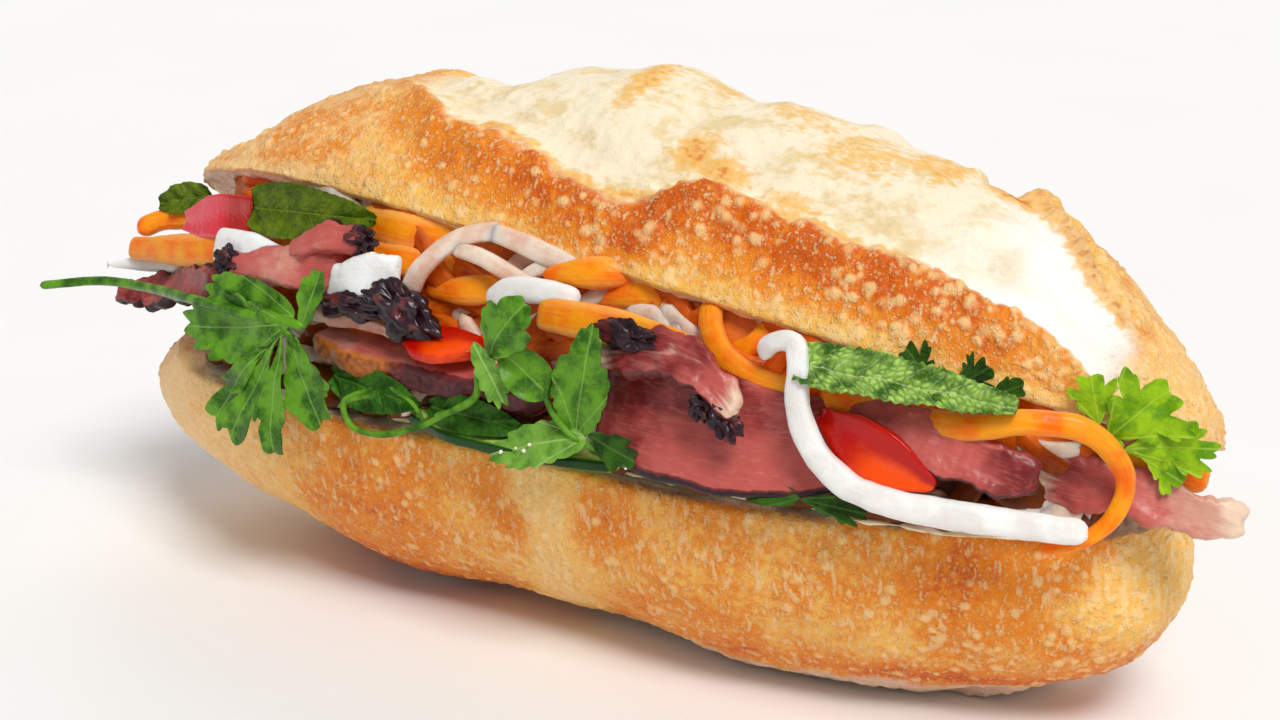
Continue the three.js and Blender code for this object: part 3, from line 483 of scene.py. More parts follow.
def bumps(table, along, aside):
    """The soft bumps of a table. A row has a place and a reach along, a place and a reach aside, and a
    size."""
    return [size * bell(along, a, reach) * bell(aside, b, spread) for a, reach, b, spread, size in table]


# How much more baked the lower crust is, by place along it and share of its height.
LOWER_TONES = [
    (-0.45, 0.16, 0.5, 0.4, 0.35),
    (-0.42, 0.14, 0.12, 0.16, 0.6),
    (-0.12, 0.05, 0.75, 0.3, 0.3),
    (0.1, 0.07, 0.85, 0.3, 0.3),
    (0.25, 0.15, 0.4, 0.3, 0.1),
    (0.72, 0.14, 0.75, 0.35, 0.3),
    (0.84, 0.05, 0.9, 0.2, 0.3),
    (0.94, 0.08, 0.22, 0.2, 1.2),
    (0.6, 0.4, 0.22, 0.07, 0.6),
    (0.98, 0.12, 0.65, 0.45, -0.5),
    (-0.6, 0.2, 0.65, 0.3, -0.14),
    # This row is partly painted light: it makes the left end less baked and paler, as light on it.
    (-0.95, 0.25, 0.5, 0.6, -0.3),
    (-0.62, 0.3, 0.06, 0.12, 0.7),
]

# A paler seam runs up the front, just left of the middle.
seam = bell(lean + 0.02 * noise(rings, 9, 6), -0.045, 0.055) * smooth(0.02, 0.3, height)
lower_bake = 0.28 + 0.22 * noise(rings, 15, 7, 2) + sum(bumps(LOWER_TONES, lean, height)) - 0.7 * seam
streaked = noise(rings * np.array([1, 1, 0.22]), 2.2, 8, 2)

# Flour from the board clings round the sole, in a band that is widest right of the middle.
dusted = bell(lean, 0.45, 0.5)
rim = smooth(0.08 + 0.16 * dusted, 0.03 + 0.06 * dusted, height + 0.04 * coarse)
lower = loft(
    rings,
    bake=lower_bake,
    # The peach left end is partly the paler crust of the end and partly painted light that lifts it.
    peach=smooth(-0.55, -0.85, lean) + 0.5 * seam,
    blister=spots,
    flour=(rim + 0.1 * seam + 0.1 * streaked) * (1 - cut),
    crumb=cut * over_lip * smooth(-0.9, -0.74, lean + 0.02 * streaked),
    slash=0,
    toast=0,
)
piece("bread_lower", lower, crust, "crust", "bread")

# ---- upper half of the roll ----
# The same roll above the cut, swung back over its hinge. Its crown was slashed before baking: the crust
# lifted into two ears, and between them the dough burst into a white, floury skin with toasted patches.

CROWN_HEIGHT = 46.5
HINGE_Y = 37
OPEN_ANGLE = 29
OPEN_TWIST = 8
LEFT_LIP = 4.5
CROWN_SQUARENESS = 1.95

# The slash opens and closes over these shares of the roll's half length. Its rear edge lies SLASH_BACK
# degrees round the crown from the front lip, and comes forward by so many degrees at either end.
SLASH_LEFT = (-0.62, -0.45)
SLASH_RIGHT = (0.84, 0.93)
SLASH_BACK = 118
LEFT_TAPER = 52
RIGHT_TAPER = 62
EAR_RISE = 3
GROOVE_DEPTH = 1.6

# Lobes and hollows of the crown, by place along it and degrees round it, with their height in mm.
CROWN_FORMS = [
    (-0.88, 0.07, 35, 40, -2.4),
    (-0.54, 0.1, 75, 40, 1.2),
    (-0.445, 0.085, 86, 22, -6.6),
    (-0.37, 0.05, 64, 16, -2.6),
    (-0.3, 0.07, 80, 35, -0.8),
    (-0.1, 0.055, 78, 30, 1.9),
    (0.07, 0.075, 82, 40, -2.6),
    (0.33, 0.16, 85, 40, -1.7),
    (0.31, 0.045, 90, 14, 1.7),
    (0.5, 0.02, 90, 9, 1.4),
    (0.525, 0.016, 92, 12, -1.6),
    (0.585, 0.035, 104, 14, 1.5),
    (0.74, 0.06, 104, 30, 1.4),
    (0.9, 0.08, 110, 30, -1.6),
]

# The front edge of the slash: place along the roll, and degrees round the crown from the front lip.
SLASH_FRONT = [(-0.65, 58), (-0.5, 41), (-0.4, 31), (-0.3, 27), (-0.2, 24), (-0.1, 20), (0, 17), (0.08, 19),
               (0.14, 26), (0.2, 29), (0.25, 26.5), (0.5, 27), (0.65, 29), (0.74, 28), (0.82, 24), (0.9, 14)]


def slash_edges(t):
    """Where the slash starts and ends, in degrees round the crown from the front lip."""
    front = np.interp(t, *np.transpose(SLASH_FRONT))
    back = SLASH_BACK - LEFT_TAPER * smooth(-0.1, -0.58, t) ** 1.3 - RIGHT_TAPER * smooth(0.4, 0.92, t)
    return front, back


def opened(x, y, z):
    """A point of the upper half, swung back over the hinge."""
    angle = np.radians(OPEN_ANGLE - OPEN_TWIST * x / (ROLL_LENGTH / 2))
    reach = y - HINGE_Y
    swung_y = HINGE_Y + reach * np.cos(angle) + z * np.sin(angle)
    swung_z = LIP_HEIGHT - reach * np.sin(angle) + z * np.cos(angle)
    return xyz(x, swung_y, swung_z)


t = stations(560)
around = np.linspace(0, math.pi, 310)[None, :]
degrees = np.degrees(around)
half = ROLL_WIDTH / 2 * plan_scale(t)
height = CROWN_HEIGHT * np.maximum(0, 1 - t**2) ** 0.6
y = -half * power(np.cos(around), 2 / CROWN_SQUARENESS)
z = height * np.sin(around) ** (2 / CROWN_SQUARENESS)
x = t * ROLL_LENGTH / 2 - LEFT_LIP * smooth(-0.8, -1, t) * smooth(0.35, 0, z / CROWN_HEIGHT)
front, back = slash_edges(t)
flat = xyz(x, y, z)
ragged = 2.2 * noise(flat, 7, 11, 2) + 0.9 * noise(flat, 1.8, 12, 2)
past_front = degrees - front + ragged
past_back = degrees - back + ragged
is_open = smooth(*SLASH_LEFT, t) * (1 - smooth(*SLASH_RIGHT, t))
flap = (EAR_RISE + 1.8 * bell(t, 0.17, 0.07)) * (1 + 0.3 * noise(flat, 7, 13, 2))
ear = np.where(past_front < -3, bell(past_front, -3, 8), bell(past_front, -3, 3.4))
rear_ear = 1.1 * EAR_RISE * bell(past_back, 3, 8) * smooth(-0.25, 0.1, t)
groove = GROOVE_DEPTH * (bell(past_front, 9, 7) + bell(past_back, -10, 8))
flakes = 1.1 * noise(flat, 4, 14, 3) * bell(degrees, back + 2, 9) * smooth(0.15, 0.3, t)
relief = is_open * (flap * ear + rear_ear - groove + flakes) + sum(bumps(CROWN_FORMS, t, degrees))
lift = relief * plan_scale(t) * np.sin(around) ** 0.3
swell = 1 + lift / np.maximum(8, np.hypot(y, z))
crust_side = opened(x, y * swell, z * swell)
across = np.linspace(1, -1, 42)[None, 1:-1]
rings, cut = closed_skin(crust_side, opened(x[:, :1], half * across, 0 * across))


def over_crust(values):
    """Values on the crust, with none on the cut face."""
    wide = np.zeros(rings.shape[:2])
    wide[:, : around.size] = np.broadcast_to(values, (t.size, around.size))
    return wide


slash = over_crust(is_open * smooth(-2.4, 0.8, past_front) * (1 - smooth(-1.5, 1.5, past_back)))
band = over_crust(smooth(-26, -12, degrees - front) * (1 - smooth(-3, 2, past_front)) * is_open)
chance = over_crust(0.25 + 0.6 * smooth(-0.4, -0.1, t) * (1 - smooth(60, 90, degrees))) * (1 - slash)
spots = blisters(rings, 13000, (0.3, 1.7), chance * clustered(rings, 9, 20), 21)
folds = noise(rings, 9, 22, 3)
skin = np.where(slash > 0.5, 0.5 * folds + 0.12 * noise(rings, 2, 23, 2), 0.4 * folds)
lift = skin + 0.15 * noise(rings, 2.4, 24, 3) + 0.6 * spots
lift = np.where(cut > 0, CUT_ROUGHNESS * noise(rings, 3, 25, 3), lift)
rings = roughened(rings, lift)

# Toasted patches of the burst, by place along the crown and degrees round it, and how dark they are.
TOASTED_PATCHES = [
    (-0.085, 0.04, 60, 18, 0.8),
    (0.03, 0.07, 75, 11, 0.6),
    (0.1, 0.05, 38, 8, 0.9),
    (0.17, 0.06, 34, 6, 0.9),
    (0.31, 0.07, 32, 5, 0.7),
    (0.22, 0.12, 68, 14, 0.5),
    (0.36, 0.1, 60, 18, 0.6),
    (0.45, 0.07, 72, 14, 0.65),
    (0.49, 0.03, 73, 18, 0.8),
    (0.58, 0.05, 85, 14, 1.1),
    (0.72, 0.09, 84, 8, 0.8),
]
toast = np.max(bumps(TOASTED_PATCHES, t, degrees), 0)
toast = np.maximum(toast, 0.7 * bell(past_front, 1, 2.6) * smooth(-0.55, -0.3, t) * (1 - smooth(0.5, 0.7, t)))
toast = np.maximum(toast, 0.8 * bell(past_back, -2, 7))
crest = over_crust(bell(past_front, -7, 8) * is_open)
upper_bake = 0.2 + 0.35 * band + 0.5 * crest * over_crust(smooth(-0.5, -0.1, t) * smooth(0.8, 0.5, t))
upper_bake = upper_bake - 0.25 * over_crust(smooth(0.7, 0.9, t)) + 0.2 * noise(rings, 13, 26, 2)
lip_pale = over_crust(smooth(9, 2, degrees))
white_burst = 0.95 * slash * over_crust(smooth(0.45, 0.75, t)) + 0.25 * slash * noise(rings, 12, 27, 2)
upper = loft(
    rings,
    bake=upper_bake - 0.3 * lip_pale,
    peach=over_crust(0.8 * smooth(-0.4, -0.7, t) + 0.5 * smooth(0.75, 0.95, t)),
    blister=spots,
    flour=white_burst,
    crumb=cut,
    slash=slash,
    toast=over_crust(toast),
)
piece("bread_upper", upper, crust, "crust", "bread")

# ---- hinge of the roll ----
# Where the knife stopped, crust and crumb still join the halves along the back. They are one soft roll,
# crust outside and crumb inside, sunk into both halves.

HINGE_SHARE = 0.72
HINGE_DEPTH = 6
HINGE_HEIGHT = 8
HINGE_LIFT = 2


def full_turn(count):
    """Angles evenly spaced round a full turn."""
    return np.linspace(0, 2 * math.pi, count, endpoint=False)


t = stations(160) * HINGE_SHARE
around = full_turn(64)[None, :]
y = ROLL_WIDTH / 2 * plan_scale(t) - HINGE_DEPTH + HINGE_DEPTH * np.cos(around)
z = LIP_HEIGHT + HINGE_LIFT + HINGE_HEIGHT * np.sin(around)
rings = xyz(t * ROLL_LENGTH / 2, y, z)
rings = roughened(rings, 0.7 * noise(rings, 5, 31, 3))
bare = dict.fromkeys(["peach", "blister", "flour", "slash", "toast"], 0)
hinge_bake = 0.2 + 0.3 * noise(rings, 6, 32, 2)
hinge = loft(rings, bake=hinge_bake, crumb=smooth(0.2, -0.2, np.cos(around)), **bare)
piece("bread_hinge", hinge, crust, "crust", "bread")

# ---- pickled carrot ----
# Long shreds cut from a carrot with a toothed peeler and pickled until they bend: wet, a little see-through,
# square in section with worn edges. They are tucked in by hand, and one loops round the right end.

SHRED_WIDTH = 6.2
SHRED_THICKNESS = 3.6


def around_share(padded, shares):
    """The four values round each share of a row that has one spare value at either end, and how far each
    share is from the second value to the third."""
    where = np.clip(shares, 0, 1) * (len(padded) - 3)
    index = np.minimum(where.astype(int), len(padded) - 4)
    return [padded[index + k] for k in range(4)], where - index


def bridge(start, end, leave, arrive, way):
    """A cubic curve from start to end with the given slopes at both, at its share way."""
    cubic = 2 * start - 2 * end + leave + arrive
    square = 3 * end - 3 * start - 2 * leave - arrive
    return start + way * (leave + way * (square + way * cubic))


def smooth_line(points, shares):
    """Places at shares of a smooth line through points, where each stretch takes an equal share."""
    points = np.array(points, float)
    padded = np.vstack([2 * points[0] - points[1], points, 2 * points[-1] - points[-2]])
    (before, start, end, after), way = around_share(padded, shares)
    first, middle, final = (
        np.sqrt(np.linalg.norm(b - a, axis=1, keepdims=True))
        for a, b in ((before, start), (start, end), (end, after))
    )
    leave = middle * ((start - before) / first - (end - before) / (first + middle)) + end - start
    arrive = middle * ((after - end) / final - (after - start) / (middle + final)) + end - start
    return bridge(start, end, leave, arrive, way[:, None])


def even_line(points, spacing):
    """The smooth line through points: places about spacing mm apart, the way it runs there, and how far
    along it each of them is."""
    rough = smooth_line(points, np.linspace(0, 1, 600))
    run = np.append(0, np.cumsum(np.linalg.norm(np.diff(rough, axis=0), axis=1)))
    run_at = np.linspace(0, run[-1], max(8, int(run[-1] / spacing)))
    line = np.stack([np.interp(run_at, run, rough[:, k]) for k in range(3)], -1)
    return line, unit(np.gradient(line, axis=0)), run_at


def end_curve(run, roundness):
    """1 along a piece, falling in a quarter circle over the last roundness mm at both ends."""
    near = np.clip(np.minimum(run, run[-1] - run) / roundness, 0.02, 1)
    return np.sqrt(1 - (1 - near) ** 2)


def shred(points, width=SHRED_WIDTH, thickness=SHRED_THICKNESS, face=(0, -1, 0.4), seed=0,
          squareness=2.7, sides=22, spacing=0.7, rough=0.1, taper=(0.9, 0.9)):
    """A shred along points, with its broad side facing face. taper is its width at its two ends."""
    centre, tangent, run = even_line(points, spacing)
    across = unit(np.cross(tangent, face))
    broad = np.cross(across, tangent)
    angle = full_turn(sides)
    flat, deep = power(np.cos(angle), 2 / squareness), power(np.sin(angle), 2 / squareness)
    ends = end_curve(run, 0.7 * thickness)
    share = run / run[-1]
    body = 1 + (taper[0] - 1) * smooth(0.5, 0, share) + (taper[1] - 1) * smooth(0.5, 1, share)
    uneven = body * (1 + 0.07 * noise(centre, 9, seed))
    half = (width / 2 * uneven - thickness / 2 * (1 - ends)) * 0.97
    depth = thickness / 2 * ends * uneven
    rings = centre[:, None] + across[:, None] * (half[:, None] * flat)[..., None]
    rings = rings + broad[:, None] * (depth[:, None] * deep)[..., None]
    drawn_out = xyz(run[:, None] / 8, 9 * flat, 9 * deep)
    grain = noise(rings, 3, seed + 1, 2) + 0.6 * noise(drawn_out, 2, seed + 2)
    rings = roughened(rings, rough * grain)
    return loft(rings, lay=xyz(run[:, None], half[:, None] * flat, depth[:, None] * deep))


def wet_vegetable(name, light, deep, pith, see_through, soaked=None):
    """A pickled root: fine lines along the shred, deeper and lighter patches, and a wet gloss. Its last
    colour, if given, is painted shade, laid where the mask low says that it lies low in the mouth."""
    made = Finish(name, shine=0.15, roughness=0.24, coat_weight=0.06, coat_roughness=0.1,
                  subsurface_weight=see_through, subsurface_scale=0.004, subsurface_radius=(1.0, 0.45, 0.2))
    place, _, flat = made.lay()
    lines = made.noise(0.5, detail=2, stretch=(14, 1, 1), place=place)
    patches = made.noise(6, detail=3)
    worn = (abs(flat) + 2 * (patches - 0.5)).above(1.3, 3)
    colour = made.coats(
        light,
        (patches.above(0.38, 0.66), deep),
        (0.4 * worn, pith),
        (0.15 * lines.above(0.45, 0.7), pith),
    )
    # Painted shade: the low parts are darkened towards this colour.
    if soaked is not None:
        colour = made.coats(colour, (0.85 * made.mask("low"), soaked))
    made.show(colour, 0.22 + 0.16 * lines, 0.3 * lines + made.noise(1.3, detail=4), 0.2)
    return made


carrot = wet_vegetable("carrot", tint(255, 158, 20), tint(255, 112, 0), tint(255, 204, 112), 0.25)
CARROT_SHREDS = {
    "carrot_loop": dict(width=4.8, taper=(1.2, 0.55), points=[
        (52, -34, 64), (60, -33, 62.5), (70, -32, 62), (81, -32, 63), (90, -30, 65), (99, -25.5, 63.5),
        (104.5, -22.5, 56), (104, -24.5, 49.5), (99.5, -28, 44.8), (93, -31.5, 43.2)]),
    "carrot_curl": dict(width=4.8, points=[
        (25, -26, 74.6), (27.7, -31, 71.7), (31.8, -34, 68.1), (38.9, -35.5, 65.3), (48, -34.5, 63.9)]),
    "carrot_strip_1": dict(width=7.4, taper=(0.9, 0.5), points=[
        (-5.5, -37, 70), (8.7, -38.2, 70.6), (26.7, -36.5, 69.8)]),
    "carrot_strip_2": dict(width=7.4, taper=(0.7, 1), points=[
        (-124.9, -14, 57.5), (-107.4, -20, 61.4), (-86.3, -26, 65.8), (-67.2, -29, 70.4), (-57, -30, 73.6)]),
    "carrot_strip_3": dict(width=4.8, points=[
        (-124.5, -12, 61), (-120, -10, 63.2), (-114, -9, 64.3), (-104.9, -10, 65.3)]),
    "carrot_strip_4": dict(width=8, points=[(-56, -24, 77), (-43, -27, 77), (-30, -24, 76)]),
    "carrot_strip_5": dict(points=[(-54, -27, 72), (-42, -29.5, 72), (-30, -27, 71.5)]),
    "carrot_strip_6": dict(taper=(0.5, 0.4), points=[(-36, -30, 67.5), (-26, -30.5, 69), (-14, -27, 71)]),
    "carrot_strip_7": dict(taper=(0.5, 0.4), points=[(-8, -32, 75.5), (2, -30, 77), (13, -24, 77)]),
    "carrot_strip_8": dict(points=[(0, -28, 72.5), (12, -27, 74), (24, -22, 75)]),
    "carrot_strip_9": dict(width=4.2, points=[
        (35.2, -22, 73.8), (36.6, -25.5, 71.5), (35, -28, 68.6), (30, -28, 66.2)]),
    "carrot_strip_10": dict(width=6, points=[(100, -15.5, 56), (107, -11, 54), (113, -6, 51.5)]),
}
for seed, (name, sizes) in enumerate(CARROT_SHREDS.items()):
    piece(name + "_shred", shred(seed=seed, **sizes), carrot, "carrot", name)

# ---- pickled daikon ----
# Shreds and one thin slice of white radish, pickled with the carrot. The longest hangs down over the
# meat and lies along the lip; the thin ones have turned glassy.

daikon = wet_vegetable("daikon", tint(248, 246, 242), tint(234, 230, 224), tint(254, 253, 250), 0.35)
glassy_daikon = wet_vegetable(
    "glassy_daikon", tint(244, 220, 202), tint(226, 182, 156), tint(252, 240, 232), 0.5)
DAIKON_CURLS = [
    dict(width=3.8, taper=(1.2, 1), points=[
        (-37.1, -34, 67.8), (-34.8, -33.5, 72.4), (-30.6, -32, 76.8), (-25.6, -30, 79.9), (-19.7, -28, 81)]),
    dict(width=3.4, points=[
        (-28.4, -31.4, 77.2), (-21.9, -32, 76.7), (-15.3, -32.5, 74.8), (-9, -32.5, 72.9)]),
    dict(width=4.2, points=[(-22, -28.5, 80.8), (-13.1, -29.4, 79.6), (-6, -29.6, 78), (-0.2, -29, 76)]),
    dict(width=3, points=[(-14.4, -31, 72.6), (-9.4, -30, 76), (-2.9, -27.6, 77.5)]),
]
DAIKON_SHREDS = {
    "daikon_long": dict(width=5.2, thickness=3.8, squareness=2.7, rough=0.2, taper=(0.7, 1), points=[
        (40.8, -36, 69.8), (44.7, -37.5, 73.4), (49.3, -38.5, 74), (50.6, -40, 70), (51.6, -41.5, 63.4),
        (54.8, -42, 57.4), (61.3, -41.6, 51.8), (70.8, -39.5, 49.2), (82.6, -36.5, 48.4), (93.6, -32.6, 47.6),
        (101, -29, 47)]),
    "daikon_strip_1": dict(width=5, points=[
        (-17.7, -35, 69.2), (-13, -35.8, 72.7), (-5, -35.5, 73.6), (1.7, -34, 72.8)]),
    "daikon_strip_2": dict(width=7, taper=(1.1, 0.3), thickness=3, points=[
        (-87.4, -30, 68), (-76.4, -33, 69.8), (-66.1, -33.5, 70.6)]),
    "daikon_strip_3": dict(width=4, taper=(0.3, 1), points=[
        (-131, -15, 53), (-120, -14, 55), (-108, -16, 57)]),
}
for seed, (name, sizes) in enumerate(DAIKON_SHREDS.items(), 40):
    piece(name + "_shred", shred(seed=seed, **sizes), daikon, "daikon", name)


def joined(shapes):
    """Several shapes as one. They have the same masks."""
    starts = np.cumsum([0] + [len(s.points) for s in shapes])
    return Shape(
        np.concatenate([s.points for s in shapes]),
        np.concatenate([s.quads + n for s, n in zip(shapes, starts)]),
        np.concatenate([s.triangles + n for s, n in zip(shapes, starts)]),
        {name: np.concatenate([s.masks[name] for s in shapes]) for name in shapes[0].masks},
    )


curls = joined([shred(seed=50 + k, thickness=2.2, **sizes) for k, sizes in enumerate(DAIKON_CURLS)])
piece("daikon_curls_shreds", curls, glassy_daikon, "daikon", "daikon_curls")


def widths_at(widths, shares):
    """A slice's width at shares of its length, on a smooth curve through widths."""
    widths = np.array(widths, float)
    padded = np.concatenate([widths[:1], widths, widths[-1:]])
    (before, start, end, after), way = around_share(padded, shares)
    return bridge(start, end, (end - before) / 2, (after - start) / 2, way)


def slice_rings(points, widths, side, thickness, ragged=0.6, sag=0, seed=0, rough=0.25, torn=0):
    """A slice along points, whose width runs along side: its rings, where each point lies on it in mm, and
    the same as a share of its length, 0 to 1, and of its half width, -1 to 1. Its edge is as uneven as
    ragged says, its ends as torn, its face as rough, and its middle sags by sag mm."""
    u = np.linspace(0, 1, 150)
    centre = smooth_line(points, u)
    tangent = unit(np.gradient(centre, axis=0))
    lateral = unit(side)
    normal = unit(np.cross(tangent, lateral))
    run = np.append(0, np.cumsum(np.linalg.norm(np.diff(centre, axis=0), axis=1)))
    angle = full_turn(90)
    across, through = power(np.cos(angle), 0.42)[None], power(np.sin(angle), 0.5)[None]
    ends = end_curve(run, thickness / 2)[:, None]
    length = run[-1]
    u, run = u[:, None], run[:, None]
    edge = ragged * (np.sin(9 * u + 2 * (across + 1)) + 0.6 * np.sin(21 * u + 2))
    edge = edge + torn * noise(xyz(run, 6 * np.sign(across), 0), 2.4, seed, 3)
    half = widths_at(widths, u[:, 0])[:, None] / 2 + edge - thickness / 2 * (1 - ends)
    dip = sag * (1 - across**2) + 0.5 * ragged * np.sin(7 * u + 3 * across)
    depth = thickness / 2 * ends * through
    rings = centre[:, None] + lateral * (half * across)[..., None]
    rings = rings + normal[:, None] * (dip + depth)[..., None]
    shift = torn * noise(xyz(half * across, depth, 0), 2, seed + 1, 3)
    reach = smooth(0.25 * length, 0, np.minimum(run, length - run))
    outer = np.where(run < length / 2, -1, 1)
    rings = rings + tangent[:, None] * (shift * reach * outer)[..., None]
    rings = roughened(rings, rough * noise(rings, 2.5, seed + 2, 3))
    return rings, xyz(run, half * across, depth), u + 0 * across, across + 0 * u


rings, lay, _, _ = slice_rings(
    [(-54.3, -35.5, 67.9), (-45.3, -36.5, 69.7), (-38.4, -35, 70.8)], [7, 9.5, 8.5], (0, 0.3, 1), 3, 0.3,
    seed=60, rough=0.12, torn=0.5)
piece("daikon_slice_flat", loft(rings, lay=lay), daikon, "daikon", "daikon_slice")

# ---- roast pork ----
# Slices of roast pork: maroon to dusty pink and moist inside, with pale fat, and a dark spiced rim where
# the joint was glazed. Burnt ends, nearly black, hang on the slices.

DEEP_MEAT = tint(116, 20, 24)
PINK_MEAT = tint(194, 88, 80)
TAN_MEAT = tint(214, 158, 136)
PALE_MEAT = tint(228, 168, 152)
FAT = tint(236, 208, 180)
SPICE_RIM = tint(108, 40, 40)
GOLDEN_RIM = tint(196, 112, 44)
BLACK_RIM = tint(36, 6, 22)
CRAGS = 0.22
NO_QUADS = np.empty((0, 4), int)


def meat_finish(name, gloss, shine):
    """Roast meat: its tone runs from 0, maroon, over pink to 2, tan, with fat and a burnt rim over it."""
    made = Finish(name, shine=shine, roughness=gloss, coat_weight=0.15, coat_roughness=0.15,
                  subsurface_weight=0.12, subsurface_scale=0.003, subsurface_radius=(1.0, 0.35, 0.25))
    place, _, _ = made.lay()
    fibre = made.noise(0.9, detail=4, stretch=(4, 1, 1), place=place, wander=0.9)
    strand = made.noise(0.3, detail=2, stretch=(14, 1, 1), place=place)
    blush = made.noise(5, detail=4)
    tone = made.mask("tone") + 1.4 * (blush - 0.5) + 0.5 * (fibre - 0.5)
    marbling = made.noise(2.6, detail=4, stretch=(4, 1, 1), place=place, wander=1)
    marbled = made.mask("fat") + 0.7 * (marbling - 0.5)
    burn = made.mask("char") + 0.5 * (made.noise(1.4, detail=4) - 0.5)
    glaze = made.mask("glaze") + 0.8 * (made.noise(1.8, detail=3) - 0.5)
    colour = made.coats(
        DEEP_MEAT,
        (tone.above(0, 1), PINK_MEAT),
        (tone.above(1, 2), TAN_MEAT),
        (0.12 * (fibre + 0.5 * (strand - 0.5)).above(0.5, 0.75), PALE_MEAT),
        (marbled.above(0.25, 0.6), FAT),
        (burn.above(0.28, 0.5), made.coats(SPICE_RIM, (glaze.above(0.3, 0.7), GOLDEN_RIM))),
        (burn.above(0.55, 0.85), BLACK_RIM),
    )
    relief = 0.35 * fibre + 0.1 * strand + 0.6 * made.noise(1.6, detail=5)
    made.show(colour, gloss - 0.08 + 0.2 * fibre, relief, 0.22)
    return made


pork = meat_finish("pork", 0.4, 0.35)
burnt_pork = meat_finish("burnt_pork", 0.3, 0.45)


def ball(subdivisions=5):
    """Points and faces of a ball of small even triangles, 1 mm in radius."""
    net = bmesh.new()
    bmesh.ops.create_icosphere(net, subdivisions=subdivisions, radius=1)
    points = np.array([v.co for v in net.verts])
    triangles = np.array([[v.index for v in f.verts] for f in net.faces])
    net.free()
    return points, triangles


def chunk(centre, size, long=(1, 0, 0), seed=1):
    """A craggy burnt lump, torn where it broke off. Its length lies along long."""
    points, triangles = ball()
    x, y, z = points.T
    lumps = np.sin(5.1 * x + seed) * np.sin(6.3 * y + 2 * seed)
    lumps = lumps + np.sin(7.7 * z + 3 * seed) * np.cos(4.9 * x - seed)
    torn = 1 - np.abs(noise(points, 0.55, seed, 3)) * 1.4
    swell = 1 + CRAGS * lumps + 0.3 * (torn - 0.4)
    points = points * np.array(size) / 2 * swell[:, None]
    ahead = unit(long)
    side = unit(np.cross((0, 0, 1), ahead))
    turned = points @ np.array([ahead, side, np.cross(ahead, side)])
    turned = turned + unit(turned) * (0.35 * noise(turned, 1.1, seed + 1, 2))[:, None]
    bare = noise(points, 2.4, seed, 2)
    none = 0 * bare
    masks = {"lay": points, "fat": none, "tone": 0.5 + none, "glaze": none, "char": 0.95 - 0.5 * bare}
    return Shape(turned + np.array(centre), NO_QUADS, triangles, masks)


def pork_slice(points, rim, tones, shade=0, fat_edge=0, fat=0, golden=0, **sizes):
    """A slice of pork. rim says how burnt its two long edges are, tones how pale it is from its start to
    its end, shade how much darker its far edge is painted as painted shade, fat_edge how fat its ends
    are, and golden how golden its rim is near its start."""
    rings, lay, u, across = slice_rings(points, **sizes)
    low, high = rim
    char = low * smooth(-0.76, -0.97, across) + high * smooth(0.76, 0.97, across)
    ends_fat = fat + fat_edge * smooth(0.25, 0.0, np.minimum(u, 1 - u))
    # shade lowers the tone towards the far edge: painted shade.
    tone = np.interp(u, np.linspace(0, 1, len(tones)), tones) - shade * smooth(-0.5, 0.9, across)
    return loft(rings, lay=lay, fat=ends_fat, char=char, tone=tone, glaze=golden * smooth(0.55, 0.25, u))


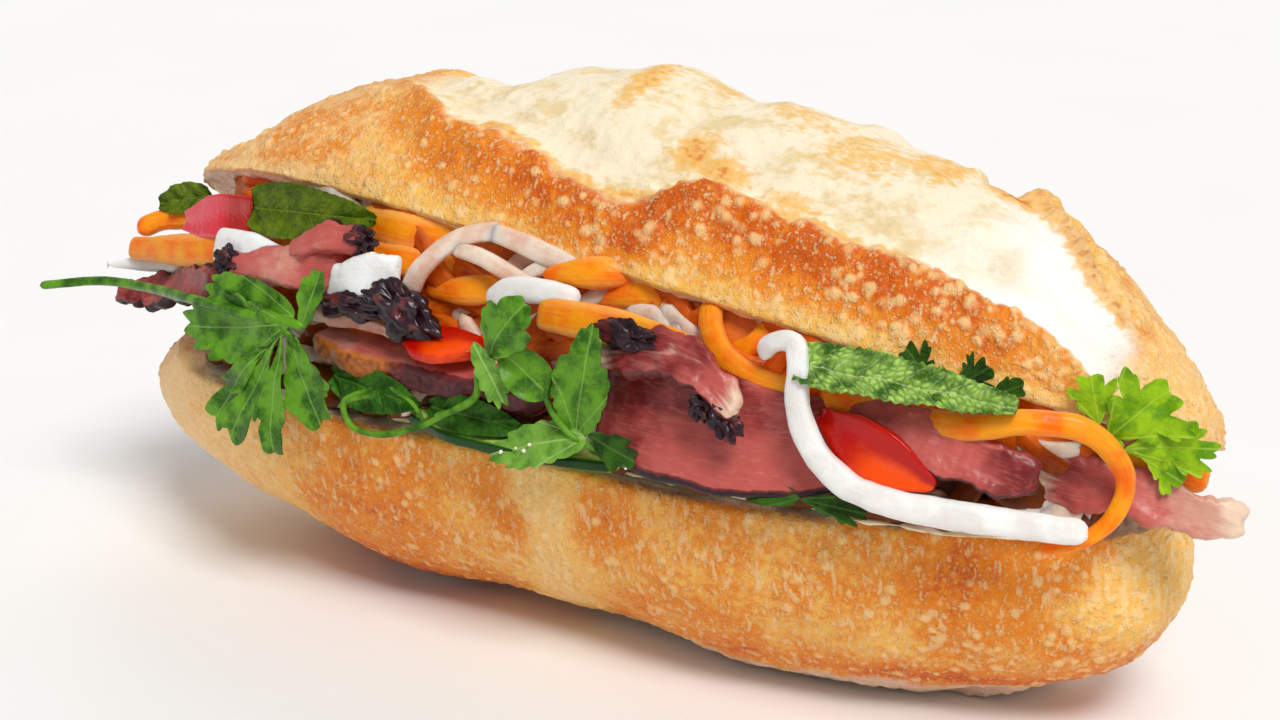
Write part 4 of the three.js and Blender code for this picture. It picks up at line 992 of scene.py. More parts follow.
piece(
    "pork_fold_meat",
    joined([
        pork_slice(
            [(9, -38, 65.5), (21, -40, 67.8), (33, -42.2, 66.8), (41, -43.6, 62)], widths=[8, 9, 8, 5.5],
            side=(0.1, 0.6, 0.8), thickness=3.6, seed=70, rim=(0.6, 0.3), tones=(0.1, 0.25, 0.6, 1.4),
            fat=0.2, fat_edge=0.25, rough=0.3, torn=0.5),
        chunk((38.4, -44.2, 59.8), (8, 4, 4.5), (0.6, 0, -0.8), 2),
        chunk((33.5, -44, 61), (4.5, 3.4, 4), (0.2, 0, -1), 6),
        chunk((16.2, -40.5, 70.2), (12, 4, 5), (1, 0, -0.1), 5),
    ]),
    pork, "pork", "pork_fold")
PORK_SLICES = {
    # Its shade darkens its upper edge: painted shade from the fold above it.
    "pork_slice_1": dict(
        points=[(8, -37, 56), (24, -39.5, 55.5), (40, -39.5, 55), (60, -35, 56)], widths=[17, 22, 21, 15],
        side=(0, 0.3, 1), thickness=4.2, sag=-1.5, rim=(1, 0), tones=(0.4, 0.8, 1.1, 0.9), shade=0.7, seed=71,
        ragged=0.4, torn=0.1, rough=0.15),
    "pork_slice_2": dict(
        points=[(57, -34, 61), (68, -34.5, 60), (80, -32.8, 57.6), (92, -29.8, 54.6)], widths=[9, 11, 10, 7],
        side=(0.2, 0.5, 0.9), thickness=4, rim=(0.75, 0.1), tones=(0.5, 1, 0.9, 0.1), fat=0.1, seed=72,
        torn=0.5, rough=0.3, ragged=0.4),
    "pork_slice_3": dict(
        points=[(-59, -30, 55), (-46, -31, 54.5), (-30, -32, 54), (-14, -32, 54), (-3, -32, 54)],
        widths=[14, 19, 19, 18, 16], side=(0.05, 1, 0.12), thickness=6.4, rim=(0.65, 0.3), seed=73,
        tones=(1.6, 1.3, 1, 0.8), golden=1, torn=0.3, ragged=0.4, rough=0.25),
    "pork_slice_4": dict(
        points=[(-60, -31, 60.5), (-48, -32, 60.6), (-36, -32, 60.6)], widths=[9, 11, 9],
        side=(0.05, 1, 0.1), thickness=3, rim=(0, 0), tones=(2, 1.6), fat=0.35, fat_edge=0.5, seed=74),
    "pork_far_left": dict(
        points=[(-126, -17, 49), (-112, -18, 51.5), (-98, -25, 57), (-86, -31, 61)], widths=[5, 7, 8, 7],
        side=(0, 0.5, 0.9), thickness=4, rim=(0.9, 1), tones=(0.2, 0.6, 0.3), seed=75, torn=0.8),
    "pork_tip": dict(
        points=[(86, -21, 54), (99, -18.5, 51.4), (110.5, -14, 48.8), (121.6, -9, 46.4)],
        widths=[10, 9, 8.6, 5.6], side=(0, 0.4, 1), thickness=4.6, rim=(0.2, 0.2),
        tones=(0.3, 0.8, 1.6, 2), fat=0.1, fat_edge=0.45, seed=76, torn=0.7),
}
for name, sizes in PORK_SLICES.items():
    piece(name + "_meat", pork_slice(**sizes), pork, "pork", name)
piece(
    "pork_left_meat",
    joined([
        pork_slice(
            [(-80, -34, 66.6), (-66, -35, 68), (-53, -34, 69)], widths=[6, 8.5, 8], side=(0.1, 0.5, 0.9),
            thickness=4.5, seed=77, rim=(0.3, 0.1), tones=(1, 1.5, 0.9), fat=0.1, torn=0.3),
        pork_slice(
            [(-65, -33.5, 71.6), (-56.5, -34, 75), (-47, -33.5, 76.8)], widths=[4, 6.4, 4.6],
            side=(0.1, 0.5, 0.9), thickness=4.5, seed=78, rim=(0.2, 0.8), tones=(0.9, 1.2, 0.5),
            torn=0.4, ragged=0.3),
        chunk((-48, -34, 76.4), (6, 4.4, 4.6), seed=8),
        chunk((-80, -34.8, 67), (6.4, 4.4, 5), seed=3),
    ]),
    pork, "pork", "pork_left")
piece(
    "pork_burnt_end_meat",
    joined([
        chunk((-47, -38.4, 64.8), (15, 5.4, 4.6), (1, -0.1, 0.1), 1),
        chunk((-34.5, -39.4, 65.8), (15, 6.4, 8), (1, 0, -0.5), 4),
    ]),
    burnt_pork, "burnt_pork", "pork_burnt_end")

# ---- chilli ----
# A ripe red chilli cut on the slant: glossy red skin round the rim, and orange flesh that falls away to
# the hollow in its middle.

chilli = Finish("chilli", shine=0.2, roughness=0.18, coat_weight=0.25, coat_roughness=0.05,
                subsurface_weight=0.12, subsurface_scale=0.003, subsurface_radius=(1.0, 0.2, 0.1))
hollow = chilli.mask("hollow") + 0.6 * (chilli.noise(3, detail=3) - 0.5)
colour = chilli.coats(
    tint(190, 12, 0), (hollow.above(0, 0.9), tint(250, 80, 2)), (chilli.mask("blush"), tint(236, 44, 66)))
chilli.show(colour, 0.14 + 0.1 * hollow, chilli.noise(0.8, detail=2), 0.12)
CHILLI_SLICES = {
    "chilli_slice_1": dict(
        points=[(53.5, -37, 62), (64, -38.5, 57.5), (76, -37, 52.8)], widths=[3, 9, 9.5, 3],
        side=(0.5, 0.2, 1), thickness=2.6, sag=-0.8, seed=80),
    "chilli_slice_2": dict(
        points=[(-35, -37.5, 60.5), (-27, -39, 60.5), (-18, -38, 61)], widths=[5, 10, 10, 5],
        side=(0, 1, 0.3), thickness=2.6, seed=81),
    "chilli_slice_3": dict(
        points=[(-106.7, -17, 67), (-92, -23.5, 71.6), (-79.2, -27.5, 74.6)], widths=[4, 8.6, 9, 8],
        side=(0, 0.3, 1), thickness=3.2, sag=-1, seed=82),
}
for name, sizes in CHILLI_SLICES.items():
    rings, lay, u, across = slice_rings(ragged=0.1, rough=0.05, **sizes)
    plain = name == "chilli_slice_3"
    inside = smooth(1, 0.1, np.hypot(across + 0.5, 2 * u - 1.5)) * (not plain)
    blush = plain * smooth(0.75, 0.5, u)
    piece(name + "_flesh", loft(rings, lay=lay, hollow=inside, blush=blush), chilli, "chilli", name)

# ---- coriander ----
# Fresh coriander on round pale stalks. Each leaf is a group of thin leaflets, fan-shaped or oval, cut into
# lobes with a saw edge, and a vein runs from the leaflet's foot to the tip of each lobe.

LEAF_THICKNESS = 0.36
STEM_WIDTH = 2.2
VEIN_SLANT = 0.9
LOBE_SPAN = 0.78
NOTCH_WIDTH = 0.36


def leaf_finish(name, top, deep, vein, gloss=0.4, vein_gap=2.6, slant=VEIN_SLANT):
    """A leaf: mottled green, with pale veins and side veins vein_gap mm apart that run out at slant, and
    painted shade in the net between them, where the creases of a quilted blade sink."""
    made = Finish(name, shine=0.18, roughness=gloss, subsurface_weight=0.12, subsurface_scale=0.002,
                  subsurface_radius=(0.4, 1.0, 0.15))
    _, along, flat = made.lay()
    side = abs(flat)
    mottle = made.noise(4, detail=4)
    fleck = made.noise(0.7, detail=3)
    midrib = side.above(0.3, 0.08)
    ribs = abs(((along - slant * side + 0.6 * made.noise(2)) / vein_gap) % 1 - 0.5)
    ribs = ribs.above(0.05, 0.01) * side.above(6, 1)
    lines = midrib.math("MAXIMUM", 0.8 * midrib, 0.5 * ribs)
    # The net marks the sunken creases between the puffs; painting it deep green is painted shade.
    net = made.mask("net")
    colour = made.coats(
        top,
        ((mottle + 0.3 * (fleck - 0.5)).above(0.38, 0.64), deep),
        (0.18 * fleck.above(0.5, 0.7), vein),
        (0.65 * net, deep),
        (0.5 * lines, vein),
    )
    relief = 0.4 * made.noise(1.3, detail=4) - 0.8 * lines - 0.5 * net + 0.25 * made.noise(0.25)
    made.show(colour, gloss + 0.15 * (mottle - 0.5), relief, 0.16)
    return made


def leaf_axes(base, tip, face):
    """A leaf's foot and length, and the ways that run along it, across it and out of its upper face."""
    root = np.array(base, float)
    stretch = np.array(tip, float) - root
    ahead = unit(stretch)
    sideways = unit(np.cross(face, ahead))
    return root, np.linalg.norm(stretch), ahead, sideways, np.cross(ahead, sideways)


def leaf_skin(skin, out, axis, **masks):
    """A thin leaf from the points of its middle, closed round its edge along an axis of those points."""
    half = out * LEAF_THICKNESS / 2
    rings = np.concatenate([skin + half, np.flip(skin - half, axis)], axis)
    full = {name: np.concatenate([values, np.flip(values, axis)], axis) for name, values in masks.items()}
    return loft(rings, **full)


def leaflet(base, tip, face, width, lobes=3, notch=0.15, teeth=15, saw=0.15, fan=0.0, neck=0.0, bend=0.0,
            cup=0.1, seed=0):
    """A leaflet from its foot to its tip. notch and saw say how deep its lobes and its teeth are cut, fan
    widens its end, neck draws its foot in, bend curves it and cup hollows each lobe."""
    root, length, ahead, sideways, out = leaf_axes(base, tip, face)
    s = np.linspace(-1, 1, 260, endpoint=False)
    level = np.cos(math.pi * s)
    share = (level + 1) / 2
    across = width / 2 * np.sin(math.pi * s) * (1 + fan * level) * (share + 1e-9) ** neck
    cut = 0 * s
    for k in range(1, lobes):
        place = LOBE_SPAN * (2 * k / lobes - 1) + 0.03 * math.sin(3 * k + seed)
        depth = 1 + 0.25 * math.sin(5 * k + seed)
        cut = np.maximum(cut, depth * np.maximum(0, 1 - np.abs(s - place) / (NOTCH_WIDTH / lobes)) ** 1.3)
    phase = s * teeth / 2 + 0.25 * np.sin(5 * s + seed)
    tooth = np.abs(2 * (phase % 1) - 1) ** 1.3 * smooth(0.84, 0.66, np.abs(s))
    reach = (1 - notch * cut) * (1 - saw * tooth) * (1 + 0.03 * np.sin(4 * s * lobes + seed))
    foot = 0.45 * length
    offset = np.stack([(length * share - foot) * reach, across * reach], -1)
    scale = np.append(np.linspace(0.03, 0.95, 17), [0.985, 1])[:, None, None]
    flat = scale * offset + [foot, 0]
    radius, turn = np.hypot(*np.moveaxis(flat, -1, 0)), np.arctan2(flat[..., 1], flat[..., 0])
    lobe = LOBE_SPAN * ((2 * np.arange(lobes) + 1) / lobes - 1)
    vein_turns = np.arctan2(width / 2 * np.sin(math.pi * lobe), length / 2 * (1 + np.cos(math.pi * lobe)))
    gap = turn[..., None] - vein_turns
    gap = np.take_along_axis(gap, np.abs(gap).argmin(-1)[..., None], -1)[..., 0]
    beside = np.abs(radius * np.sin(gap))
    ripple = xyz(flat[..., 0], flat[..., 1], 7 * seed)
    rise = cup * beside + 0.1 * width * (flat[..., 1] / (width / 2)) ** 2 * scale[..., 0]
    rise = rise - 0.07 * length * (radius / length) ** 2
    rise = rise + 0.045 * length * noise(ripple, 0.4 * length, seed, 2)
    rise = rise + 0.2 * noise(ripple, 2, seed + 1, 2) * scale[..., 0]
    swept = flat[..., 1] + bend * (radius / length) ** 2
    skin = root + flat[..., :1] * ahead + swept[..., None] * sideways + rise[..., None] * out
    return leaf_skin(skin, out, 0, lay=xyz(radius * np.cos(gap), beside, 0), net=0 * beside)


def stem(points, width=STEM_WIDTH, seed=0):
    """A round stalk. Its lay is kept off the veins."""
    made = shred(points, width, width, seed=seed, squareness=2, sides=14, rough=0.05)
    blank = 0 * made.points[:, 0]
    made.masks["lay"] = np.stack([blank, 9 + blank, blank], -1)
    made.masks["net"] = blank
    return made


herb = leaf_finish("coriander", tint(98, 154, 30), tint(40, 90, 4), tint(160, 200, 100), 0.3)
lime_herb = leaf_finish("young_coriander", tint(150, 192, 14), tint(92, 142, 0), tint(184, 214, 70))
# A darker copy of the coriander. On the leaves under the upper lip it is painted shade.
dark_herb = leaf_finish("dark_coriander", tint(52, 92, 18), tint(24, 54, 8), tint(92, 132, 52), 0.34)
bright_herb = leaf_finish(
    "bright_coriander", tint(122, 172, 62), tint(78, 130, 30), tint(196, 224, 140), 0.34)

# After the way it faces, each leaflet has its width, its lobes and how deep they are cut, its teeth and how
# deep they are cut, and then its fan, neck and bend.
FACE_1 = (-0.12, -1, 0.2)
sprig_1 = joined([
    stem([(-142, -24, 49), (-127, -22, 52), (-112, -25, 54), (-88, -37, 58.5), (-72, -42, 60),
          (-60, -42.2, 60), (-56, -42.2, 60)], seed=90),
    stem([(-66, -42.4, 60.5), (-60, -42.6, 58), (-57, -42, 53)], 1.5, seed=89),
    leaflet((-59, -41.6, 61), (-85, -38, 65), (-0.1, -1, 0.5), 8, 2, 0.2, 9, 0.1, bend=1.5, seed=1),
    leaflet((-59.5, -42.6, 60), (-90, -40.5, 51.5), FACE_1, 15.5, 3, 0.2, 15, 0.16, 0.1, 0.15, -2, seed=2),
    leaflet((-61, -42.6, 57.6), (-82.6, -44.6, 38), FACE_1, 11, 3, 0.5, 9, 0.16, 0.3, 0.9, 3, seed=3),
    leaflet((-61, -43, 57.6), (-73, -47, 34.2), FACE_1, 13, 3, 0.5, 9, 0.16, 0.4, 0.9, -1, seed=21),
    leaflet((-60.6, -42.8, 57.6), (-63.2, -47.6, 32.8), FACE_1, 9, 3, 0.3, 7, 0.14, 0.3, 0.6, 1, seed=22),
    leaflet((-60, -42.4, 58), (-50, -46.5, 41.5), FACE_1, 13.5, 3, 0.24, 13, 0.14, 0.4, 0.3, seed=4),
    leaflet((-56.4, -42.2, 59.8), (-53.4, -40.5, 71.5), FACE_1, 6, 1, 0.1, 8, 0.16, 0.2, seed=5),
])
piece("coriander_sprig_1_leaves", sprig_1, herb, "coriander", "coriander_sprig_1")
sprig_2 = joined([
    stem([(-23, -46, 49.2), (-18, -46.4, 51.5), (-13, -46.3, 55.5), (-12.6, -46.2, 60), (-10.5, -45.8, 63)],
         1.5, seed=91),
    stem([(12, -43.4, 48.5), (6, -44.4, 51), (1.5, -44.8, 57), (2.5, -44, 62.5)], 1.3, seed=90),
    leaflet((-10.8, -45.4, 62.5), (-4, -46.6, 76), (-0.2, -1, 0), 13, 3, 0.3, 14, 0.08, 0.25, 0.2, -2.2,
            seed=6),
    leaflet((-8.3, -44.8, 64.5), (0.7, -43.2, 56.8), (0.3, -0.9, 0.4), 8.5, 1, 0, 1, 0, 0.1, seed=7),
    leaflet((6.8, -43.6, 50.6), (11, -45.6, 72), (0.1, -1, -0.1), 11.2, 3, 0.2, 19, 0.08, -0.12, seed=8),
])
piece("coriander_sprig_2_leaves", sprig_2, herb, "coriander", "coriander_sprig_2")
bright_leaflet = leaflet((-13.2, -46.9, 65.6), (-6.6, -45.6, 54), (0.5, -1, 0.2), 5, 1, 0, 12, 0.2, 0.2, 0,
                         -0.6, seed=9)
piece("coriander_sprig_2_edge", bright_leaflet, bright_herb, "coriander", "coriander_sprig_2")
flat_leaf = leaflet((9.4, -43.4, 50.6), (-12.4, -45.8, 44.6), (0.1, -0.9, 0.5), 8.8, 3, 0.14, 17, 0.12,
                    -0.1, 0, 1, 0.04, seed=10)
piece("coriander_leaf_1_blade", flat_leaf, bright_herb, "coriander", "coriander_leaf_1")
stalks = joined([
    stem([(-13, -45.8, 55), (-20, -46, 50.4), (-27, -46.6, 46.3), (-36, -46.8, 43.4), (-42, -46.8, 44),
          (-44, -46.2, 48), (-38, -44.6, 51.5)], 1.3, seed=92),
    stem([(-35, -43.6, 52), (-29, -45, 50.6), (-26, -46, 48.5), (-25, -46.4, 46.6)], 0.9, seed=93),
    stem([(-46, -45.6, 46.5), (-42, -46, 49), (-36, -46, 51)], 0.9, seed=94),
])
piece("coriander_stalks_bare", stalks, herb, "coriander", "coriander_stalks")
piece(
    "coriander_leaf_2_blade",
    leaflet((9.6, -43.6, 51.4), (19.5, -43.4, 47.6), (0.2, -1, 0.3), 7.6, 3, 0.3, 9, 0.14, 0.3, 0.3, seed=11),
    dark_herb, "coriander", "coriander_leaf_2")
FACE_3 = (0.45, -1, 0.1)
sprig_3 = joined([
    stem([(90, -17, 60), (97, -20, 62), (103, -19.8, 60)], 1.8, seed=94),
    leaflet((98.8, -21.3, 63.6), (96.8, -21.6, 72.4), FACE_3, 11, 5, 0.42, 11, 0.12, 0.3, 0.5, seed=12),
    leaflet((100, -20.8, 61), (108.6, -16.2, 71.4), FACE_3, 20, 5, 0.44, 15, 0.16, 0.3, 0.5, -1.5, seed=13),
    leaflet((103, -19.6, 59.4), (117.3, -12.8, 61.6), FACE_3, 12, 5, 0.4, 15, 0.16, 0.1, 0.4, -1.5, seed=14),
    leaflet((106, -18.2, 57.8), (112.4, -15.4, 53.8), FACE_3, 8, 5, 0.42, 9, 0.12, 0.4, 0.6, seed=15),
])
piece("coriander_sprig_3_leaves", sprig_3, lime_herb, "coriander", "coriander_sprig_3")
FACE_DARK = (0.3, -1, 0.3)
# These leaves lie in shadow under the upper lip; their darker coriander is painted shade.
leaf_3 = joined([
    stem([(58, -26, 66.5), (68, -27.2, 66.8), (82, -25.5, 66)], 1.5, seed=95),
    leaflet((71, -27.2, 66.8), (64.5, -27.8, 73.4), FACE_DARK, 9, 5, 0.5, 13, 0.16, 0.4, 0.5, seed=16),
    leaflet((73.8, -26.4, 67), (80.4, -25.9, 72.1), FACE_DARK, 9, 5, 0.5, 13, 0.16, 0.4, 0.5, seed=17),
    leaflet((80, -25.4, 66.4), (86, -24.4, 69.3), FACE_DARK, 6, 3, 0.5, 9, 0.16, 0.4, 0.5, seed=20),
])
piece("coriander_leaf_3_blades", leaf_3, dark_herb, "coriander", "coriander_leaf_3")
leaf_4 = joined([
    leaflet((52, -41, 46.9), (39.5, -42, 47.3), (0.1, -0.9, 0.4), 5.4, 3, 0.3, 9, 0.16, 0.2, seed=18),
    leaflet((52, -41, 46.9), (65, -39.8, 46.3), (0.1, -0.9, 0.4), 6.4, 5, 0.45, 11, 0.16, 0.3, 0.4, seed=19),
])
piece("coriander_leaf_4_blade", leaf_4, dark_herb, "coriander", "coriander_leaf_4")

# ---- mint and salad leaves ----
# Mint leaves with a saw edge, quilted between their veins, and plain dark salad leaves below the meat.
# Each is a thin blade folded up along its midrib.

BLADE_FOLD = 0.25
TOOTH_LENGTH = 1.9
CELL_WIDTH = 1.1


def blade(base, tip, face, width, arch=2, quilt=0.5, vein_gap=2.1, saw=0.06, blunt=0.75, lead=0.8):
    """A leaf blade from base to tip, its middle lifted by arch mm, puffed up by quilt mm in each cell of
    the net of its veins. It is blunter for a smaller blunt, and widest nearer its base for a smaller
    lead."""
    root, length, ahead, sideways, out = leaf_axes(base, tip, face)
    u = np.linspace(0.002, 0.998, 260)[:, None]
    side = np.linspace(-1, 1, 111)[None, :]
    half = width / 2 * np.sin(math.pi * (0.04 + 0.92 * u) ** lead) ** blunt
    teeth = 1 + saw * (2 * np.abs(2 * ((u * length / TOOTH_LENGTH) % 1) - 1) - 1) * np.abs(side) ** 3
    lateral = half * side * teeth
    random = np.random.default_rng(0)
    cells = []
    for row in range(int(width / 2 / CELL_WIDTH) + 1):
        aside = CELL_WIDTH / 2 + CELL_WIDTH * row
        shift = 0.5 * vein_gap * (row % 2)
        forward = np.arange(-2, length / vein_gap + 2) * vein_gap + shift + VEIN_SLANT * aside
        for way in (-1, 1):
            spread = random.uniform(-0.5, 0.5, (forward.size, 2))
            cells.append(np.stack([forward, np.full(forward.size, way * aside)], -1) + spread)
    place = xyz(u * length, lateral, 0)
    apart = place[:, :, None, :2] - np.concatenate(cells)
    way = np.sign(place[:, :, None, 1] + 1e-6)
    with_vein = (VEIN_SLANT * apart[..., 0] + way * apart[..., 1]) / math.hypot(1, VEIN_SLANT)
    over_vein = (apart[..., 0] - VEIN_SLANT * way * apart[..., 1]) / math.hypot(1, VEIN_SLANT)
    gaps = np.sort(np.hypot(with_vein / 1.5, over_vein), axis=-1)
    puff = smooth(0, 0.8, gaps[..., 1] - gaps[..., 0]) ** 0.7
    rise = arch * np.sin(math.pi * u) + BLADE_FOLD * half * np.abs(side) + quilt * puff
    rise = rise - 0.5 * quilt * bell(lateral, 0, 0.5) + 0.35 * np.sin(20 * u - 5 * np.abs(side))
    rise = rise + 0.12 * noise(place, 1.2, octaves=2)
    skin = root + place[..., :1] * ahead + place[..., 1:2] * sideways + rise[..., None] * out
    # net is 1 in the creases between the puffs, where the finish paints shade.
    net = smooth(0.5, 0.02, gaps[..., 1] - gaps[..., 0]) * min(1, 2 * quilt)
    return leaf_skin(skin, out, 1, lay=xyz(u * length, np.abs(lateral), 0), net=net)


mint = leaf_finish("mint", tint(170, 208, 96), tint(56, 98, 16), tint(228, 244, 184), 0.46, 4.2)
dark_mint = leaf_finish("dark_mint", tint(98, 118, 8), tint(62, 84, 0), tint(140, 156, 50), 0.42, 3.6)
salad = leaf_finish("salad_leaf", tint(56, 108, 20), tint(26, 68, 8), tint(100, 150, 50), 0.4, 4, 0.7)
PLAIN_BLADE = dict(arch=1, quilt=0.15, saw=0.02)
BLADES = {
    "mint_leaf_1": (mint, "mint", dict(
        base=(50.2, -38.6, 70.4), tip=(88.5, -32, 67.6), face=(0, -0.7, 1), width=9.8,
        blunt=0.42, lead=0.5, arch=0.5, vein_gap=1.7, quilt=0.36)),
    "mint_leaf_2": (dark_mint, "mint", dict(
        base=(-78.6, -28.6, 76.8), tip=(-46.5, -31.3, 79.8), face=(0.1, -0.9, 0.3), width=11,
        blunt=0.6, lead=0.6, **PLAIN_BLADE)),
    "mint_leaf_3": (dark_mint, "mint", dict(
        base=(-107.5, -8, 70), tip=(-120.5, -9, 66.6), face=(0, -0.9, 0.4), width=6.6,
        blunt=0.5, **PLAIN_BLADE)),
    "salad_leaf_1": (salad, "salad_leaf", dict(
        base=(-52, -39, 50), tip=(-30, -41, 48.5), face=(0, -1, 0.3), width=9,
        vein_gap=3.4, **PLAIN_BLADE)),
    "salad_leaf_2": (salad, "salad_leaf", dict(
        base=(-28, -40.5, 48.5), tip=(-5, -42, 48.5), face=(0, -0.9, 0.5), width=7,
        vein_gap=3.4, **PLAIN_BLADE)),
}
for name, (finish, slot, sizes) in BLADES.items():
    piece(name + "_blade", blade(**sizes), finish, slot, name)

# ---- cucumber and mayonnaise ----
# One long slice of cucumber, dark green round its edge, lies on a thin spread of mayonnaise over the
# lower half. The spread squeezes out a little along the lip.

CLEARANCE = 0.36
SPREAD_THICKNESS = 1.1
SPREAD_LEFT = -94
SPREAD_RIGHT = 92
cucumber = Finish("cucumber", shine=0.2, roughness=0.2, coat_weight=0.05, coat_roughness=0.1,
                  subsurface_weight=0.15, subsurface_scale=0.004)
skin = cucumber.mask("skin") + 0.3 * (cucumber.noise(1.5, detail=3, stretch=(4, 1, 1)) - 0.5)
colour = cucumber.coats(
    tint(176, 204, 96), (skin.above(0.0, 0.45), tint(96, 150, 34)), (skin.above(0.6, 0.8), tint(28, 70, 22)))
cucumber.show(colour, 0.2, cucumber.noise(0.9, detail=3), 0.15)
rings, lay, _, across = slice_rings(
    [(-34, -33, 45), (-20, -34, 44.7), (-4, -34, 44.6), (13, -32, 44.6)], [14, 21, 22, 18], (0, 1, 0), 3.2,
    0.2, seed=100, rough=0.1)
cucumber_slice = loft(rings, lay=lay, skin=smooth(0.9, 1, np.abs(across)))
piece("cucumber_slice_flesh", cucumber_slice, cucumber, "cucumber", "cucumber_slice")


def lip_depth(x):
    """How far the lip stands in front of the roll's middle at x."""
    return ROLL_WIDTH / 2 * plan_scale(x / (ROLL_LENGTH / 2))


mayonnaise = Finish("mayonnaise", roughness=0.3, subsurface_weight=0.3, subsurface_scale=0.003,
                    coat_weight=0.2, coat_roughness=0.2)
colour = mayonnaise.coats(tint(252, 240, 208), (mayonnaise.noise(4).above(0.4, 0.7), tint(242, 222, 176)))
mayonnaise.show(colour, 0.3, mayonnaise.noise(1.2, detail=3), 0.25)
x = np.linspace(SPREAD_LEFT, SPREAD_RIGHT, 420)[:, None]
front = -lip_depth(x) + 0.6 + 0.7 * np.sin(0.31 * x) + 0.5 * np.sin(0.13 * x + 1)
front = front + 3 * smooth(-70, -60, x) * smooth(62, 48, x) + 6 * smooth(-75, -92, x)
angle = full_turn(60)[None, :]
middle, half = (0.55 * lip_depth(x) + front) / 2, (0.55 * lip_depth(x) - front) / 2
y = middle + half * power(np.cos(angle), 0.15)
z = LIP_HEIGHT + CLEARANCE + SPREAD_THICKNESS / 2 * (1 + power(np.sin(angle), 0.8))
rings = xyz(x, y, z)
spill = 0.7 * noise(rings, 5, 101, 3) * smooth(0.6, 0.95, -np.cos(angle))
rings = roughened(rings, spill + 0.12 * noise(rings, 3, 102, 2))
piece("mayonnaise_spread", loft(rings), mayonnaise, "mayonnaise", "mayonnaise")

# ---- pickle heap ----
# The rest of the shredded carrot and daikon, packed inside behind the slices: a core with loose shreds
# laid over its front, so that no part of the mouth looks empty.

HEAP_REACH = 97
CORE_INSET = 1.2
ROOF_GAP = 1.5
LOOSE_CARROTS = 150
LOOSE_DAIKONS = 60


def heap_section(x, inset=0):
    """The heap's outline across the roll at x: places from its low front, over the top, to its low back."""
    depth = float(lip_depth(x))
    low = LIP_HEIGHT + SPREAD_THICKNESS + 2 * CLEARANCE
    top = opened(x, -depth, 0)
    steps = np.arange(8)
    lump = 1.2 * np.sin(0.37 * x + 2.1 * steps) + 0.8 * np.sin(0.83 * x - 1.3 * steps)
    share = steps / 7
    front_y = -depth + (top[1] + depth) * share + 2.5 + lump + inset
    front_z = low + (top[2] - ROOF_GAP - low) * share
    back = min(HINGE_Y - HINGE_DEPTH, depth - 4)
    back_top = opened(x, back, 0)[2] - ROOF_GAP
    rear = np.array([0.35, 0.7, 1])
    rear_y = top[1] + (back - top[1]) * rear
    rear_z = top[2] - ROOF_GAP + (back_top - top[2] + ROOF_GAP) * rear
    ys = np.concatenate([front_y, rear_y, [back, 0]])
    zs = np.concatenate([front_z, rear_z, [low, low]])
    return xyz(float(x), ys, zs)


core = np.array([heap_section(x, CORE_INSET) for x in np.linspace(-HEAP_REACH, HEAP_REACH, 70)])
share = np.linspace(0, core.shape[1], 96, endpoint=False)
step = share.astype(int)
part = (share - step)[None, :, None]
rings = core[:, step] * (1 - part) + core[:, (step + 1) % core.shape[1]] * part
rings = roughened(rings, 0.6 * noise(rings, 4, 110, 2))
heap_core = loft(rings, lay=rings)

random = np.random.default_rng(5)


def loose_shred(seed):
    """A shred laid over the front of the heap, anywhere along it."""
    start = random.uniform(-96, 84)
    length = random.uniform(14, 34)
    at = np.linspace(start, min(HEAP_REACH, start + length), 4)
    height = random.uniform(0.3, 6.6) + random.uniform(-2.2, 2.2) * np.linspace(-1, 1, 4)
    height = np.clip(height + random.normal(0, 0.35, 4), 0.2, 6.9)
    line = []
    for x, step in zip(at, height):
        section = heap_section(x)
        low, share = int(step), step - int(step)
        spot = section[low] * (1 - share) + section[low + 1] * share
        line.append(spot + np.array([0, random.uniform(-0.8, 1.2), 0]))
    width = random.uniform(3.4, 5.6)
    return shred(line, width, random.uniform(2, 3), (0, -1, 0.2), seed, sides=12, spacing=1.6)


# A darker copy of the carrot: painted shade for the heap deep in the mouth. Its last colour is more painted
# shade on the heap's low parts.
deep_carrot = wet_vegetable("deep_carrot", tint(232, 104, 12), tint(176, 62, 4), tint(238, 150, 70), 0.15,
                            tint(64, 34, 12))
carrots = joined([loose_shred(200 + k) for k in range(LOOSE_CARROTS)])
daikons = joined([loose_shred(400 + k) for k in range(LOOSE_DAIKONS)])
# The mask low marks the low parts, where the painted shade is laid.
for shape in (heap_core, carrots):
    shape.masks["low"] = smooth(61, 50, shape.points[:, 2])
piece("pickle_heap_core", heap_core, deep_carrot, "carrot", "pickle_heap")
piece("pickle_heap_carrots", carrots, deep_carrot, "carrot", "pickle_heap")
piece("pickle_heap_daikons", daikons, glassy_daikon, "daikon", "pickle_heap")

# ---- salt ----
# A few coarse grains of salt that fell from the fingers. They are caught on the flat coriander leaf and
# along the lip.

salt = Finish("salt", roughness=0.3, subsurface_weight=0.3, subsurface_scale=0.001)
salt.show(salt.coats(tint(255, 252, 244), (salt.noise(1), tint(240, 228, 200))), 0.3)
CRUMB_SPOTS = [
    (-5, -45.6, 46.4), (-2, -45.4, 47.6), (-3.2, -45.6, 46.2), (-8, -46, 45.2), (1, -45.2, 48),
    (18, -44.2, 46.6), (26, -42.6, 47), (-0.4, -45.5, 46.4),
]
grain, net = ball(2)
crumbs = []
for k, spot in enumerate(CRUMB_SPOTS):
    size = 0.28 + 0.14 * math.sin(7 * k)
    lumps = 1 + 0.3 * noise(grain, 0.8, k)
    crumbs.append(Shape(grain * size * lumps[:, None] + np.array(spot), NO_QUADS, net, {}))
piece("salt_crumbs", joined(crumbs), salt, "daikon")

# ---- stage ----
# A plain pale floor, a soft light from high on the open side and a weaker one from behind, and a camera
# that looks at the mouth from the right.

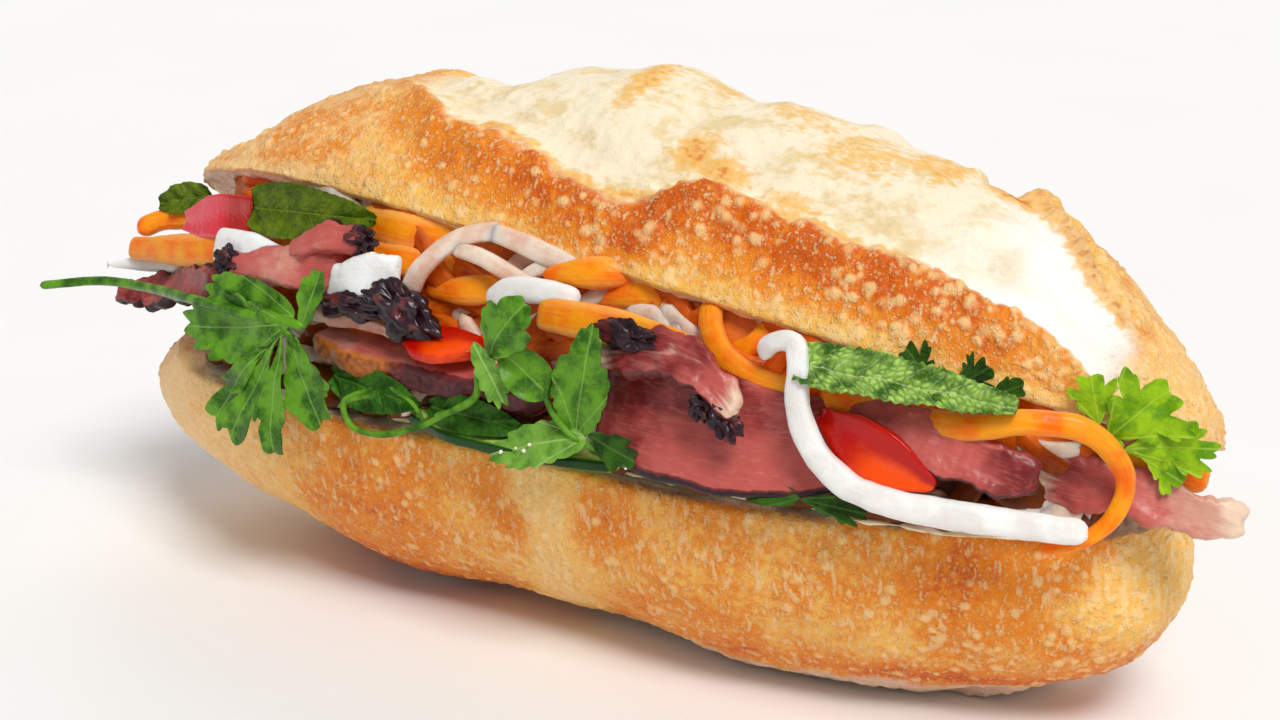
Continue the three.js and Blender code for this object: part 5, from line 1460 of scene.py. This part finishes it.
FLOOR_REACH = 3
LIGHT_STRENGTH = 0.38
CAMERA_LENS = 84
SENSOR_WIDTH = 36
CAMERA_TARGET = (-7, 0, 50)
CAMERA_AZIMUTH = 32.4
CAMERA_ELEVATION = 18.7
CAMERA_DISTANCE = 582

corners = [(x * FLOOR_REACH, y * FLOOR_REACH, 0) for x, y in ((-1, -1), (1, -1), (1, 1), (-1, 1))]
floor_mesh = bpy.data.meshes.new("floor")
floor_mesh.from_pydata(corners, [], [(0, 1, 2, 3)])
floor = bpy.data.objects.new("floor", floor_mesh)
bpy.context.scene.collection.objects.link(floor)
pale = Finish("pale_floor", roughness=0.8)
pale.show(pale.coats(tint(244, 243, 241), (pale.noise(60), tint(248, 247, 245))))
floor_mesh.materials.append(pale.material)
floor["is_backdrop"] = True

world = bpy.data.worlds.new("soft_light")
bpy.context.scene.world = world
world.use_nodes = True
sky = world.node_tree.nodes["Background"]
sky.inputs["Color"].default_value = tint(250, 250, 252)
sky.inputs["Strength"].default_value = LIGHT_STRENGTH


def aim(thing, target, azimuth, elevation, distance):
    """Puts thing distance mm from target, at that azimuth and elevation, and turns it to look back."""
    a, e = math.radians(azimuth), math.radians(elevation)
    way = np.array([math.sin(a) * math.cos(e), -math.cos(a) * math.cos(e), math.sin(e)])
    thing.location = (np.array(target) + way * distance) * MM
    thing.rotation_euler = Vector(-way).to_track_quat("-Z", "Y").to_euler()


def soft_sun(name, strength, spread, azimuth, elevation):
    """An even light from one side, whose shadows are as soft as spread degrees make them."""
    data = bpy.data.lights.new(name, "SUN")
    data.energy = strength
    data.angle = math.radians(spread)
    lamp = bpy.data.objects.new(name, data)
    bpy.context.scene.collection.objects.link(lamp)
    aim(lamp, (0, 0, 0), azimuth, elevation, 1000)


soft_sun("key", 2.3, 24, 52, 54)
soft_sun("back", 0.5, 40, 200, 40)

camera = bpy.data.objects.new("camera", bpy.data.cameras.new("camera"))
bpy.context.scene.collection.objects.link(camera)
camera.data.lens = CAMERA_LENS
camera.data.sensor_width = SENSOR_WIDTH
aim(camera, CAMERA_TARGET, CAMERA_AZIMUTH, CAMERA_ELEVATION, CAMERA_DISTANCE)
bpy.context.scene.camera = camera
bpy.context.scene.view_settings.view_transform = "Standard"

visual_low, visual_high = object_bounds()
sizes = {"cad": [list(cad_low), list(cad_high)], "visual": [list(visual_low), list(visual_high)]}
